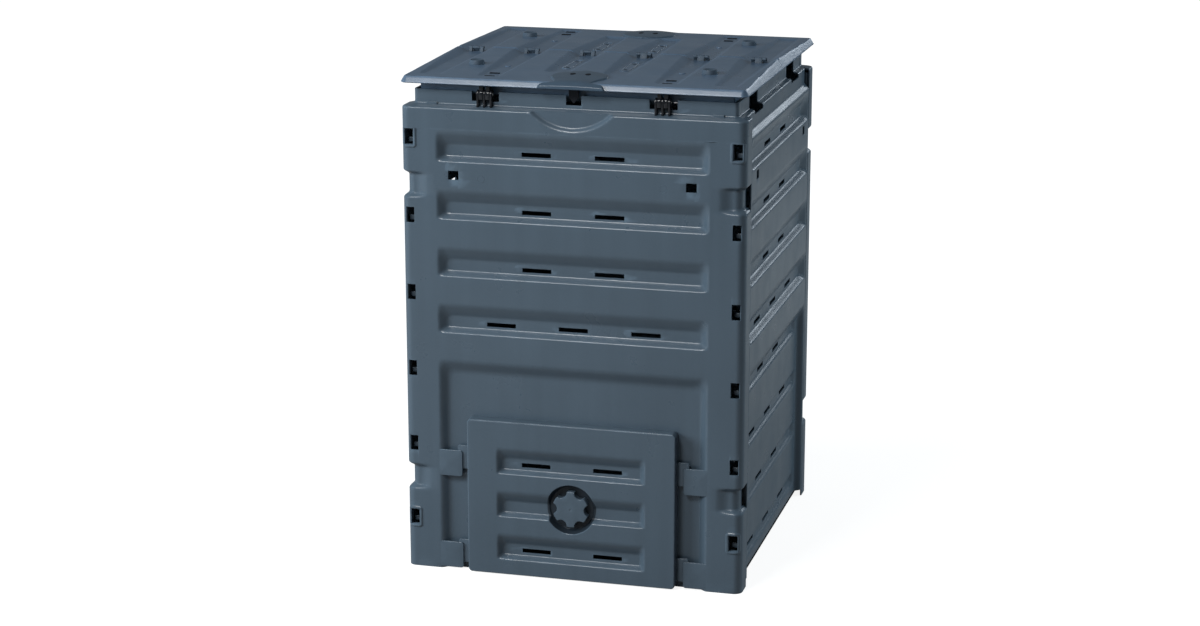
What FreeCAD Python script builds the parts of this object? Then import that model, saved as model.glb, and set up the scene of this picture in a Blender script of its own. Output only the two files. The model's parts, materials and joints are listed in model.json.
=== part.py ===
import FreeCAD, Part
import math
import os
from FreeCAD import Vector

os.makedirs("parts", exist_ok=True)

# Compost bin with a two-piece folding lid and a lift-out door.
# Millimetres, +Z up. The origin is on the ground, in the middle of the square base.
# The door faces -Y. Every wall is drawn facing -Y and then turned to its side of the bin.

# Body
binWidth = 700.0
wall = 3.0
cornerRadius = 12.0
returnDepth = 50.0
panelGap = 0.3
shoulderHeight = 958.0
shoulderRise = 4.5
collarSetback = 22.0
collarHeight = 28.0
collarCorner = 8.0

# Pinched bands near the top and bottom of each corner
pinchDepth = 9.0
pinchHeight = 40.0
pinchSlope = 7.0
pinchLowStart = 173.0
pinchTopDrop = 176.0
pinchReach = 47.0
pinchHoleDepth = 16.0

# Snap windows and the hooks that show in them
windowCount = 6
windowWidth = 18.0
windowHeight = 31.5
windowInset = 17.0
windowLowest = 106.0
windowTopDrop = 60.0
windowRim = 6.0
windowRimHeight = 1.2
hookWidth = 14.0
hookHeight = 10.0
hookDrop = 10.0
hookDepth = 8.0

# Louvre pockets of the four upper rows
pocketDepth = 14.0
pocketMargin = 74.0
pocketHeight = 58.0
pocketEndSlope = 14.0
ledgeDrop = 9.0
floorHeight = 23.5
upperRows = 4
topRowDrop = 106.8
lowestUpperRow = 59.0
slotLength = 60.0
slotHeight = 9.0
slotRise = 18.5
slotSpacing = 149.0

# Side walls: full-width pockets, a set-back top strip and a sloped band
sidePocketMargin = 4.0
sideEndSlope = 24.0
sideSlotSpacing = 160.0
topStripDepth = 10.0
bandDrop = 30.5
bandHeight = 11.0
sideNotchWidth = 80.0
sideNotchDrop = 7.0
sideNotchX = 188.0
sideBottom = 16.0
sideHoleDrop = 122.0

# Low recess, behind the door at the front and closed on the other walls
recessTop = 442.0
recessSlope = 24.0
recessEndSlope = 14.0
innerRows = 4
innerTopDrop = 57.7
innerLowest = 34.2
innerPocketDepth = 8.0
innerPocketHeight = 31.0
innerFloorHeight = 16.0
innerLedge = 7.0
innerMargin = 12.0

# Grip and small holes on the front and rear walls
gripHalfWidth = 85.0
gripHeight = 36.0
gripDepth = 5.5
gripSlope = 5.0
squareHoleWidth = 21.5
squareHoleHeight = 18.0
squareHoleX = 241.5
squareHoleDrop = 134.0

# Door
doorWidth = 433.0
doorBottom = 2.0
doorTop = 327.0
doorProud = 13.0
doorSeat = 0.6
doorEdge = 1.5
doorCorner = 9.0
doorOverlap = 16.5
doorHeader = 31.0
doorRows = 3
doorRowDrop = 110.0
doorRowLowest = 35.0
doorPocketDepth = 13.0
doorPocketHalf = 153.5
doorPocketHeight = 52.0
doorFloorHeight = 23.0
doorLedge = 7.0
doorEndSlope = 10.0
doorSlotRise = 17.5

# Tabs on the wall and ears on the door
tabGap = 14.0
tabHeight = 55.0
tabStarts = (3.0, 199.5)
earStarts = (15.0, 216.0)
earHeight = 49.0
earOverlap = 10.5
earClearance = 0.6

# Knob and latch
knobRise = 26.0
knobRadius = 38.0
knobHeight = 14.0
knobSeat = 0.5
scallops = 6
scallopRadius = 12.5
scallopCentre = 41.0
knobWellRadius = 51.5
knobWellSlope = 6.0
knobWellDepth = 16.0
shaftRadius = 8.0
runningClearance = 0.05
latchGap = 5.0
latchThickness = 5.0
latchLength = 160.0
latchWidth = 24.0
latchHub = 17.0
washerRadius = 11.0
washerThickness = 1.6
screwHeadRadius = 7.0
screwHeadHeight = 4.0
screwRadius = 2.5
screwLength = 14.0

# Lid
lidOverhang = 1.0
lidRise = 15.8
skirtDrop = 12.2
skirtBevel = 7.0
roofRise = 8.1
lidCorner = 14.0
seamGap = 0.6
seamBevel = 7.0
seamDrop = 4.0
grooveCount = 6
grooveMargin = 51.0
grooveHalfWidth = 17.0
grooveDrop = 2.0
grooveWallRun = 2.0
grooveEnd = 38.0
innerGrooveEnd = 112.0

# Fold hinge along the seam
foldRise = 5.5
eyeRadius = 5.0
foldPinRadius = 3.0
eyeWidth = 8.0
eyeGap = 0.8
innerEyeWidth = 14.4
eyeWebLength = 12.0

# Rods on the wall and claws on the lid
rodRadius = 4.0
rodLength = 34.0
rodInset = 20.0
rodDrop = 4.5
notchWidth = 56.0
notchDrop = 19.5
ribWidth = 4.0
ribSpacing = 13.5
ribDepth = 15.0
ribTop = 5.5
bracketWidth = 38.0
bracketFront = 10.0
bracketBase = 3.0
pegWidth = 12.0
pegDepth = 5.0
pegLength = 5.0
clawRadius = 8.0
clawFinger = 8.0
clawReach = 9.0
clawFlare = 1.3
clawSeat = 0.4
clawBase = 4.0
clawStudLength = 17.0
clawStudWidth = 5.5
clawStudSpacing = 36.0
clawStudInset = 44.0

# Centre tongue of each lid half
tongueWidth = 20.0
tongueThickness = 4.0
tonguePoint = 12.0
tongueClear = 4.0
centreNotchWidth = 31.0
centreNotchDrop = 19.5

# Grip lobes and buttons on the lid
lobeRadius = 58.0
lobeCentre = 57.0
lobeRaise = 4.6
lobeNeck = 42.0
lobeFlare = 69.0
lobeProud = 6.0
lobeThickness = 5.0
lobeHoleRadius = 3.5
lobeHoleX = 15.5
lobeHoleInset = 67.0
buttonRadius = 16.0
buttonHeight = 8.0
buttonX = 240.0
buttonY = 190.0
buttonStem = 9.0
buttonDish = 2.0

# Sizes that follow from the ones above
half = binWidth / 2
collarFoot = shoulderHeight + shoulderRise
collarTop = collarFoot + collarHeight
collarFace = half - collarSetback
pocketHalf = half - pocketMargin
sideHalf = half - returnDepth - panelGap
lidHalf = half + lidOverhang
skirtBottom = collarTop + lidRise
plateEdge = skirtBottom + skirtDrop
plateHalf = lidHalf - skirtBevel
ridgeHeight = plateEdge + roofRise
grooveFloor = plateEdge - grooveDrop
groovePitch = (2 * lidHalf - 2 * grooveMargin) / (grooveCount - 1)
hingeX = 1.5 * groovePitch
foldHeight = plateEdge + foldRise
rodY = half - rodInset
rodZ = collarTop - rodDrop
clawPlateBottom = grooveFloor - wall - clawSeat - clawBase
doorHalf = doorWidth / 2
doorFront = -half - doorProud
doorBack = -half + pocketDepth - doorSeat
tabInner = doorHalf + tabGap
openingHalf = doorHalf - doorOverlap
openingTop = doorTop - doorHeader
doorPitch = (doorTop - doorRowDrop - doorRowLowest) / (doorRows - 1)
knobZ = doorRowLowest + doorPitch + knobRise
wellFloor = doorFront + knobWellDepth
latchFront = -half + pocketDepth + wall + latchGap
screwEnd = latchFront + latchThickness - screwLength
pinchBands = (pinchLowStart, shoulderHeight - pinchTopDrop)
margin = 1.0
far = 2000.0


def box(x0, x1, y0, y1, z0, z1):
    return Part.makeBox(x1 - x0, y1 - y0, z1 - z0, Vector(x0, y0, z0))


def turned(shape, degrees):
    copy = shape.copy()
    copy.rotate(Vector(0, 0, 0), Vector(0, 0, 1), degrees)
    return copy


def mirroredX(shape):
    return shape.mirror(Vector(0, 0, 0), Vector(1, 0, 0))


def fused(shapes):
    first = shapes[0]
    if len(shapes) == 1:
        return first
    return first.fuse(shapes[1:])


def prismX(points, x0, x1):
    # Closed (y, z) outline carried from x0 to x1
    corners = [Vector(x0, y, z) for y, z in points]
    face = Part.Face(Part.makePolygon(corners + corners[:1]))
    return face.extrude(Vector(x1 - x0, 0, 0))


def cylinderX(radius, x0, x1, y, z):
    return Part.makeCylinder(radius, x1 - x0, Vector(x0, y, z), Vector(1, 0, 0))


def cylinderY(radius, y0, y1, x, z):
    return Part.makeCylinder(radius, y1 - y0, Vector(x, y0, z), Vector(0, 1, 0))


def cylinderZ(radius, z0, z1, x, y):
    return Part.makeCylinder(radius, z1 - z0, Vector(x, y, z0))


def rectangleAt(outer, inner, depth, level):
    # A rectangle that shrinks evenly from outer at level 0 to inner at the full depth
    share = level / depth
    return [a + (b - a) * share for a, b in zip(outer, inner)]


def sunk(outer, inner, depth, start, stop, base=0.0):
    # Solid between two depths behind the wall's face; rectangles are (x0, x1, z0, z1)
    wires = []
    for level in (start, stop):
        x0, x1, z0, z1 = rectangleAt(outer, inner, depth, level)
        y = -half + base + level
        loop = [Vector(x0, y, z0), Vector(x1, y, z0), Vector(x1, y, z1), Vector(x0, y, z1)]
        wires.append(Part.makePolygon(loop + loop[:1]))
    return Part.makeLoft(wires, True, True)


def grown(rectangle, amount):
    x0, x1, z0, z1 = rectangle
    return (x0 - amount, x1 + amount, z0 - amount, z1 + amount)


def pocketPair(outer, inner, depth, base=0.0):
    # Backing to fuse on behind the wall, and the hollow to cut out of both
    backing = sunk(grown(outer, wall), grown(inner, wall), depth, margin, depth + wall, base)
    hollow = sunk(outer, inner, depth, -margin, depth, base)
    return backing, hollow


def louvre(lip, halfWidth, endSlope, depth, height, ledge, floor, base=0.0):
    # One louvre pocket: long slope at the top, flat floor, short ledge at the bottom
    outer = (-halfWidth, halfWidth, lip, lip + height)
    floorHalf = halfWidth - endSlope
    inner = (-floorHalf, floorHalf, lip + ledge, lip + ledge + floor)
    return pocketPair(outer, inner, depth, base)


def slotCentres(row, rows, spacing):
    # Rows have two slots each, and every fourth upper row and each second low row has three
    three = row == upperRows - 1 or (row >= upperRows and (row - upperRows) % 2 == 1)
    if three:
        return (-spacing, 0.0, spacing)
    return (-spacing / 2, spacing / 2)


def slotCut(x, z):
    return box(x - slotLength / 2, x + slotLength / 2, -half - far, -half + returnDepth,
               z - slotHeight / 2, z + slotHeight / 2)


def upperRowLips():
    highest = shoulderHeight - topRowDrop
    lowest = recessTop + lowestUpperRow
    pitch = (highest - lowest) / (upperRows - 1)
    return [highest - pitch * row for row in range(upperRows)]


def innerRowLips():
    highest = recessTop - innerTopDrop
    pitch = (highest - innerLowest) / (innerRows - 1)
    return [highest - pitch * row for row in range(innerRows)]


def windowHeights():
    highest = shoulderHeight - windowTopDrop
    pitch = (highest - windowLowest) / (windowCount - 1)
    return [windowLowest + pitch * step for step in range(windowCount)]


def arc(start, centre, end, radius):
    # Quarter turn from start to end round centre, all (x, y, z) vectors
    middle = (start + end) * 0.5 - centre
    middle.normalize()
    return Part.Arc(start, centre + middle * radius, end).toShape()


def channelWire(z, pinch):
    # Section of a front or rear wall with its two returns, at height z
    edge = half - pinch
    straight = half - pinchReach
    endY = -half + returnDepth
    centreX = edge - cornerRadius
    centreY = -edge + cornerRadius
    innerRadius = cornerRadius - wall

    def at(x, y):
        return Vector(x, y, z)

    right = at(centreX, centreY)
    left = at(-centreX, centreY)
    p = [at(-edge, endY), at(-edge, centreY), at(-centreX, -edge), at(-straight, -half),
         at(straight, -half), at(centreX, -edge), at(edge, centreY), at(edge, endY),
         at(edge - wall, endY), at(edge - wall, centreY), at(centreX, -edge + wall),
         at(straight, -half + wall), at(-straight, -half + wall), at(-centreX, -edge + wall),
         at(-edge + wall, centreY), at(-edge + wall, endY)]
    curved = {1: (left, cornerRadius), 5: (right, cornerRadius),
              9: (right, innerRadius), 13: (left, innerRadius)}
    edges = []
    for index, start in enumerate(p):
        end = p[(index + 1) % len(p)]
        if index in curved:
            centre, radius = curved[index]
            edges.append(arc(start, centre, end, radius))
        else:
            edges.append(Part.makeLine(start, end))
    return Part.Wire(edges)


def channel():
    # Wall with returns, pinched in at two heights near each corner
    stations = [(0.0, 0.0)]
    for start in pinchBands:
        stop = start + pinchHeight
        stations += [(start - pinchSlope, 0.0), (start, pinchDepth)]
        stations += [(stop, pinchDepth), (stop + pinchSlope, 0.0)]
    stations.append((shoulderHeight - wall, 0.0))
    return Part.makeLoft([channelWire(z, pinch) for z, pinch in stations], True, True)


def roundedSquare(size, radius, z):
    inner = size - radius
    corners = []
    for sx, sy in ((1, -1), (1, 1), (-1, 1), (-1, -1)):
        corners.append((Vector(sx * inner, sy * inner, z), sx, sy))
    edges = []
    previous = None
    first = None
    for centre, sx, sy in corners:
        vertical = centre + Vector(sx * radius, 0, 0)
        level = centre + Vector(0, sy * radius, 0)
        start, end = (level, vertical) if sx * sy < 0 else (vertical, level)
        if previous is not None:
            edges.append(Part.makeLine(previous, start))
        else:
            first = start
        edges.append(arc(start, centre, end, radius))
        previous = end
    edges.append(Part.makeLine(previous, first))
    return Part.Wire(edges)


def roundedBlock(size0, radius0, z0, size1, radius1, z1):
    wires = [roundedSquare(size0, radius0, z0), roundedSquare(size1, radius1, z1)]
    return Part.makeLoft(wires, True, True)


def topRing():
    # Sloping shoulder and upright collar, as one square ring
    foot = roundedBlock(half, cornerRadius, shoulderHeight - wall,
                        half, cornerRadius, shoulderHeight)
    slope = roundedBlock(half, cornerRadius, shoulderHeight, collarFace, collarCorner, collarFoot)
    under = roundedBlock(half - wall, cornerRadius - wall, shoulderHeight - wall - margin,
                         half - wall, cornerRadius - wall, shoulderHeight - wall)
    underSlope = roundedBlock(half - wall, cornerRadius - wall, shoulderHeight - wall,
                              collarFace - wall, collarCorner - wall, collarFoot - wall)
    collar = roundedBlock(collarFace, collarCorner, collarFoot - wall,
                          collarFace, collarCorner, collarTop)
    well = roundedBlock(collarFace - wall, collarCorner - wall, 0.0,
                        collarFace - wall, collarCorner - wall, collarTop + margin)
    return foot.fuse([slope, collar]).cut(fused([under, underSlope, well]))


def wideSector():
    return box(-far, far, -far, -half + returnDepth, -far, far)


def hingeNotches(centres, width, bottom):
    return [box(x - width / 2, x + width / 2, -half - far, -half + returnDepth, bottom, far)
            for x in centres]


def shoulderAt(y):
    # Height of the sloping shoulder's top at a place along Y
    return shoulderHeight + shoulderRise * (y + half) / collarSetback


def bracket(x):
    # Foot on the shoulder with three upright ribs for one rod and a peg through the shoulder
    front = -rodY - bracketFront
    back = -collarFace - panelGap
    top = collarFoot + bracketBase
    foot = [(front, shoulderAt(front)), (back, shoulderAt(back)), (back, top), (front, top)]
    shapes = [prismX(foot, x - bracketWidth / 2, x + bracketWidth / 2)]
    for offset in (-ribSpacing, 0.0, ribSpacing):
        low = x + offset - ribWidth / 2
        shapes.append(box(low, low + ribWidth, -rodY - ribDepth / 2, back,
                          top - margin, rodZ + ribTop))
        shapes.append(box(low, low + ribWidth, back - margin, -rodY + ribDepth / 2,
                          collarTop - notchDrop + panelGap, rodZ + ribTop))
    shapes.append(pegBox(x, 0.0, top - margin))
    hole = cylinderX(rodRadius + runningClearance, x - notchWidth / 2, x + notchWidth / 2, -rodY, rodZ)
    return fused(shapes).cut(hole)


def pegBox(x, clearance, top):
    # Upright peg, or with a clearance the hole for it
    middle = (-rodY - bracketFront - collarFace) / 2
    return box(x - pegWidth / 2 - clearance, x + pegWidth / 2 + clearance,
               middle - pegDepth / 2 - clearance, middle + pegDepth / 2 + clearance,
               shoulderHeight - wall - pegLength, top)


def brackets():
    return Part.Compound([bracket(-hingeX), bracket(hingeX)])


def gripCut(inset, start, stop, top):
    # Half-moon: a cone's lower part, sunk in the wall under the shoulder
    radius = (gripHalfWidth ** 2 + gripHeight ** 2) / (2 * gripHeight) + inset
    slope = gripSlope / gripDepth
    centre = Vector(0, -half + start, shoulderHeight - gripHeight + radius - inset)
    cone = Part.makeCone(radius - slope * start, radius - slope * stop, stop - start,
                         centre, Vector(0, 1, 0))
    low = shoulderHeight - gripHeight - 2 * wall
    return cone.common(box(-far, far, -far, far, low, top))


def windowRims():
    rims = []
    for z in (windowHeights()[0], windowHeights()[-1]):
        for side in (-1, 1):
            x = side * (half - windowInset)
            rims.append(box(x - windowWidth / 2 - windowRim, x + windowWidth / 2 + windowRim,
                            -half - windowRimHeight, -half + wall / 2,
                            z - windowHeight / 2 - windowRim, z + windowHeight / 2 + windowRim))
    return rims


def windowCuts():
    cuts = []
    for z in windowHeights():
        for side in (-1, 1):
            x = side * (half - windowInset)
            cuts.append(box(x - windowWidth / 2, x + windowWidth / 2, -half - far,
                            -half + wall + margin, z - windowHeight / 2, z + windowHeight / 2))
    return cuts


def pinchHoles():
    # The return's edge is cut away inside each pinched band
    holes = []
    for start in pinchBands:
        for side in (-1, 1):
            x0, x1 = sorted((side * (half - pinchDepth - wall - margin), side * (half + margin)))
            holes.append(box(x0, x1, -half + returnDepth - pinchHoleDepth,
                             -half + returnDepth + margin, start, start + pinchHeight))
    return holes


def squareHole(x, z):
    return box(x - squareHoleWidth / 2, x + squareHoleWidth / 2, -half - far,
               -half + wall + margin, z - squareHoleHeight / 2, z + squareHoleHeight / 2)


def recessRectangles(halfWidth, endSlope):
    low = -wall * 4
    outer = (-halfWidth, halfWidth, low, recessTop)
    inner = (-halfWidth + endSlope, halfWidth - endSlope, low, recessTop - recessSlope)
    return outer, inner


def wideWall(isDoorWall):
    # Front or rear wall, drawn facing -Y
    body = [channel(), topRing().common(wideSector())] + windowRims()
    cuts = windowCuts() + pinchHoles()
    for row, lip in enumerate(upperRowLips()):
        backing, hollow = louvre(lip, pocketHalf, pocketEndSlope, pocketDepth,
                                 pocketHeight, ledgeDrop, floorHeight)
        body.append(backing)
        cuts.append(hollow)
        for x in slotCentres(row, upperRows, slotSpacing):
            cuts.append(slotCut(x, lip + slotRise))
    outer, inner = recessRectangles(pocketHalf, recessEndSlope)
    backing, hollow = pocketPair(outer, inner, pocketDepth)
    body.append(backing)
    cuts.append(hollow)
    if isDoorWall:
        cuts.append(box(-openingHalf, openingHalf, -half, -half + returnDepth, -far, openingTop))
    else:
        recessHalf = pocketHalf - recessEndSlope - innerMargin
        addInnerRows(body, cuts, recessHalf, pocketEndSlope, slotSpacing)
    body.append(gripCut(wall, margin, gripDepth + wall, shoulderHeight - margin))
    cuts.append(gripCut(0.0, -margin, gripDepth, collarFoot))
    for side in (-1, 1):
        cuts.append(squareHole(side * squareHoleX, shoulderHeight - squareHoleDrop))
    cuts += hingeNotches((-hingeX, hingeX), notchWidth, collarTop - notchDrop)
    cuts += hingeNotches((0.0,), centreNotchWidth, collarTop - centreNotchDrop)
    cuts.append(box(-far, far, -far, far, -far, 0.0))
    cuts += [pegBox(x, panelGap, collarFoot) for x in (-hingeX, hingeX)]
    panel = fused(body).cut(fused(cuts))
    if isDoorWall:
        panel = panel.fuse(doorTabs())
    return panel


def addInnerRows(body, cuts, halfWidth, endSlope, spacing):
    # The shallower louvres inside a closed low recess
    for row, lip in enumerate(innerRowLips()):
        backing, hollow = louvre(lip, halfWidth, endSlope, innerPocketDepth, innerPocketHeight,
                                 innerLedge, innerFloorHeight, pocketDepth)
        body.append(backing)
        cuts.append(hollow)
        for x in slotCentres(upperRows + row, innerRows, spacing):
            cuts.append(slotCut(x, lip + innerLedge + innerFloorHeight / 2))


def doorTabs():
    # Four tabs, level with the wall's face, that hold the door's ears
    tabs = []
    for start in tabStarts:
        for side in (-1, 1):
            x0, x1 = sorted((side * tabInner, side * (pocketHalf + wall / 2)))
            tabs.append(box(x0, x1, -half, -half + wall, start, start + tabHeight))
    return tabs


def sideProfile():
    # Outer line of a side wall from the ground to the shoulder, as (depth, z)
    bandTop = shoulderHeight - bandDrop
    return [(pocketDepth, 0.0), (pocketDepth, recessTop - recessSlope), (0.0, recessTop),
            (0.0, bandTop - bandHeight), (topStripDepth, bandTop), (topStripDepth, shoulderHeight)]


def offsetLine(points, distance):
    # The same line moved inward by one wall thickness, corners mitred
    moved = []
    for index, (d, z) in enumerate(points):
        normals = []
        for a, b in ((index - 1, index), (index, index + 1)):
            if a < 0 or b >= len(points):
                continue
            dd = points[b][0] - points[a][0]
            dz = points[b][1] - points[a][1]
            length = math.hypot(dd, dz)
            normals.append((dz / length, -dd / length))
        nd = sum(n[0] for n in normals) / len(normals)
        nz = sum(n[1] for n in normals) / len(normals)
        scale = distance / (nd * nd + nz * nz)
        moved.append((d + nd * scale, z + nz * scale))
    return moved


def narrowWall():
    # Side wall, drawn facing -Y; it stands between the returns and hooks in behind them
    line = sideProfile()
    inner = offsetLine(line, wall)
    outline = [(-half + d, z) for d, z in line] + [(-half + d, z) for d, z in reversed(inner)]
    body = [prismX(outline, -sideHalf, sideHalf)]
    ring = topRing().common(box(-sideHalf, sideHalf, -half + topStripDepth, 0, 0, far))
    body.append(ring)
    cuts = []
    pocketWidth = sideHalf - sidePocketMargin
    for row, lip in enumerate(upperRowLips()):
        backing, hollow = louvre(lip, pocketWidth, sideEndSlope, pocketDepth,
                                 pocketHeight, ledgeDrop, floorHeight)
        body.append(backing)
        cuts.append(hollow)
        for x in slotCentres(row, upperRows, sideSlotSpacing):
            cuts.append(slotCut(x, lip + slotRise))
    lowWidth = sideHalf - sideEndSlope - innerMargin
    addInnerRows(body, cuts, lowWidth, pocketEndSlope, sideSlotSpacing)
    cuts += hingeNotches((-sideNotchX, sideNotchX), sideNotchWidth, shoulderHeight - sideNotchDrop)
    for side in (-1, 1):
        cuts.append(squareHole(side * squareHoleX, shoulderHeight - sideHoleDrop))
    shell = fused(body).cut(fused(cuts))
    return shell.fuse(sideEdges()).cut(box(-far, far, -far, far, -far, sideBottom))


def sideEdges():
    # Edge strips that lie behind the returns, with their ribs and snap hooks
    shapes = []
    stripFace = -half + wall + 2 * panelGap
    stripEnd = half - cornerRadius
    ribInner = sideHalf - wall
    lower = box(ribInner, sideHalf, -half, -half + pocketDepth + wall, 0, recessTop)
    bandFoot = shoulderHeight - bandDrop - bandHeight
    upper = box(ribInner, sideHalf, -half, stripFace + wall, recessTop, bandFoot)
    strip = box(ribInner, stripEnd, stripFace, stripFace + wall, 0, shoulderHeight - wall - panelGap)
    edge = fused([lower, upper, strip])
    topStrip = box(ribInner, sideHalf, stripFace, -half + topStripDepth + wall,
                   bandFoot, shoulderHeight - wall - panelGap)
    edge = edge.fuse(topStrip)
    for start in pinchBands:
        clear = pinchSlope + panelGap
        stop = start + pinchHeight
        edge = edge.cut(box(ribInner - margin, far, -far, far, start - clear, stop + clear))
    hooks = []
    hookFront = -half + windowInset - hookWidth / 2
    hookBack = -half + windowInset + hookWidth / 2
    for z in windowHeights():
        top = z + windowHeight / 2 - hookDrop - hookHeight
        stem = box(stripEnd - hookDepth, stripEnd + hookDepth / 4, stripFace + panelGap,
                   hookBack, top - hookHeight, top)
        catch = box(stripEnd, half - wall / 2, hookFront, hookBack, top - hookHeight, top)
        hooks += [stem, catch]
    edge = edge.fuse(hooks)
    return [edge, mirroredX(edge)]


def lidEnvelope(inset):
    # Bevelled skirt under a roof that falls from the seam to the outer edge
    slope = skirtBevel / skirtDrop
    top = ridgeHeight + skirtDrop
    bevelled = roundedBlock(lidHalf - inset, lidCorner, skirtBottom,
                            lidHalf - inset - slope * (top - skirtBottom), lidCorner, top)
    roof = [(-lidHalf - margin, skirtBottom - margin), (-lidHalf - margin, roofAt(lidHalf) - inset),
            (0.0, ridgeHeight - inset), (0.0, skirtBottom - margin)]
    return bevelled.common(prismX(roof, -far, far))


def roofAt(distance):
    # Height of the roof at a distance from the seam
    return ridgeHeight - roofRise * distance / plateHalf


def grooveRectangles(outer):
    # Plan rectangles of one groove at its floor and one wall height above
    endY = -plateHalf + (grooveEnd if outer else innerGrooveEnd)
    floor = (-grooveHalfWidth, grooveHalfWidth, endY + grooveWallRun * grooveDrop, grooveHalfWidth)
    above = (floor[0] - grooveWallRun, floor[1] + grooveWallRun, floor[2] - grooveWallRun, floor[3])
    return floor, above


def groove(x, outer, inset, start, stop):
    # Solid between two heights above the groove's floor
    floor, one = grooveRectangles(outer)
    wires = []
    for level in (start, stop):
        a, b, c, d = rectangleAt(floor, one, 1.0, level)
        z = grooveFloor + level
        loop = [Vector(x + a - inset, c - inset, z), Vector(x + b + inset, c - inset, z),
                Vector(x + b + inset, d, z), Vector(x + a - inset, d, z)]
        wires.append(Part.makePolygon(loop + loop[:1]))
    return Part.makeLoft(wires, True, True)


def grooveCentres():
    first = -groovePitch * (grooveCount - 1) / 2
    return [first + groovePitch * step for step in range(grooveCount)]


def lobeOutline():
    # Plan of the grip: a round back, a narrower neck and a flared front
    centreY = -plateHalf + lobeCentre
    front = -lidHalf - lobeProud
    start = Vector(-lobeRadius, centreY, 0)
    top = Vector(0, centreY + lobeRadius, 0)
    end = Vector(lobeRadius, centreY, 0)
    neckY = -plateHalf + skirtBevel / 2
    right = Part.Arc(end, Vector(lobeNeck + skirtBevel, (centreY + neckY) / 2, 0),
                     Vector(lobeNeck, neckY, 0)).toShape()
    flare = Part.Arc(Vector(lobeNeck, neckY, 0),
                     Vector(lobeNeck + (lobeFlare - lobeNeck) / 3, (neckY + front) / 2, 0),
                     Vector(lobeFlare, front, 0)).toShape()
    back = Part.Arc(start, top, end).toShape()
    base = Part.makeLine(Vector(lobeFlare, front, 0), Vector(-lobeFlare, front, 0))
    left = right.mirror(Vector(0, 0, 0), Vector(1, 0, 0))
    leftFlare = flare.mirror(Vector(0, 0, 0), Vector(1, 0, 0))
    edges = Part.sortEdges([back, right, flare, base, leftFlare, left])[0]
    return Part.Wire(edges)


def lobe():
    # Grip that rises from the roof and rolls over the skirt
    backY = -plateHalf + lobeCentre + lobeRadius
    backTop = roofAt(-backY) + lobeRaise
    edgeTop = plateEdge + lobeRaise / 2
    front = -lidHalf - lobeProud
    upper = [(backY + margin, backTop), (-plateHalf + skirtDrop, edgeTop),
             (-lidHalf, plateEdge - skirtDrop / 3), (front, skirtBottom)]
    lower = [(front + lobeThickness, skirtBottom), (-lidHalf + lobeThickness, plateEdge - skirtDrop / 2),
             (-plateHalf + skirtDrop, plateEdge - wall), (backY + margin, roofAt(-backY) - wall)]
    profile = prismX(upper + lower, -far, far)
    plan = Part.Face(lobeOutline())
    return profile.common(plan.extrude(Vector(0, 0, far)))


def foldEyes():
    # Eyes of the front half: single ones on +X grooves, pairs on -X grooves
    eyes = []
    for x in grooveCentres():
        if x > 0:
            spans = [(x - innerEyeWidth / 2, x + innerEyeWidth / 2)]
        else:
            inner = innerEyeWidth / 2 + eyeGap
            spans = [(x - inner - eyeWidth, x - inner), (x + inner, x + inner + eyeWidth)]
        for x0, x1 in spans:
            barrel = cylinderX(eyeRadius, x0, x1, 0, foldHeight)
            web = box(x0, x1, -eyeWebLength, -eyeRadius / 2, grooveFloor - wall / 2, foldHeight)
            eyes.append(barrel.fuse(web))
    return eyes


def foldPins():
    pins = []
    span = innerEyeWidth / 2 + eyeGap + eyeWidth
    for x in grooveCentres():
        pins.append(cylinderX(foldPinRadius, x - span, x + span, 0, foldHeight))
    return Part.Compound(pins)


def studCentres():
    # Each claw has two studs, one behind the other, in slots of the lid
    return [-plateHalf + clawStudInset, -plateHalf + clawStudInset + clawStudSpacing]


def studCuts(clearance):
    cuts = []
    for x in (-hingeX, hingeX):
        for y in studCentres():
            cuts.append(box(x - clawStudLength / 2 - clearance, x + clawStudLength / 2 + clearance,
                            y - clawStudWidth / 2 - clearance, y + clawStudWidth / 2 + clearance,
                            skirtBottom, far))
    return cuts


def lidHalfShell():
    # Front half of the lid; the rear half is the same piece turned round
    shell = lidEnvelope(0.0)
    backings = []
    hollows = []
    for x in grooveCentres():
        outer = abs(x) > groovePitch
        backings.append(groove(x, outer, wall, -wall, roofRise + grooveDrop))
        hollows.append(groove(x, outer, 0.0, 0.0, roofRise + 2 * grooveDrop))
    keep = shell.common(fused(backings))
    shell = shell.cut(lidEnvelope(wall)).fuse(keep)
    shell = shell.cut(fused(hollows))
    bevel = prismX([(-seamBevel, ridgeHeight + margin), (margin, ridgeHeight + margin),
                    (margin, ridgeHeight - seamDrop)], -far, far)
    shell = shell.cut(bevel).fuse(lobe())
    shell = shell.cut(box(-far, far, -seamGap / 2, far, -far, far)).fuse(foldEyes())
    cuts = [cylinderX(foldPinRadius + runningClearance, -far, far, 0, foldHeight)]
    for side in (-1, 1):
        cuts.append(cylinderZ(lobeHoleRadius, 0, far, side * lobeHoleX, -plateHalf + lobeHoleInset))
        cuts.append(cylinderZ(buttonStem + panelGap, 0, far, side * buttonX, -buttonY))
    return shell.cut(fused(cuts + studCuts(panelGap)))


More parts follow.
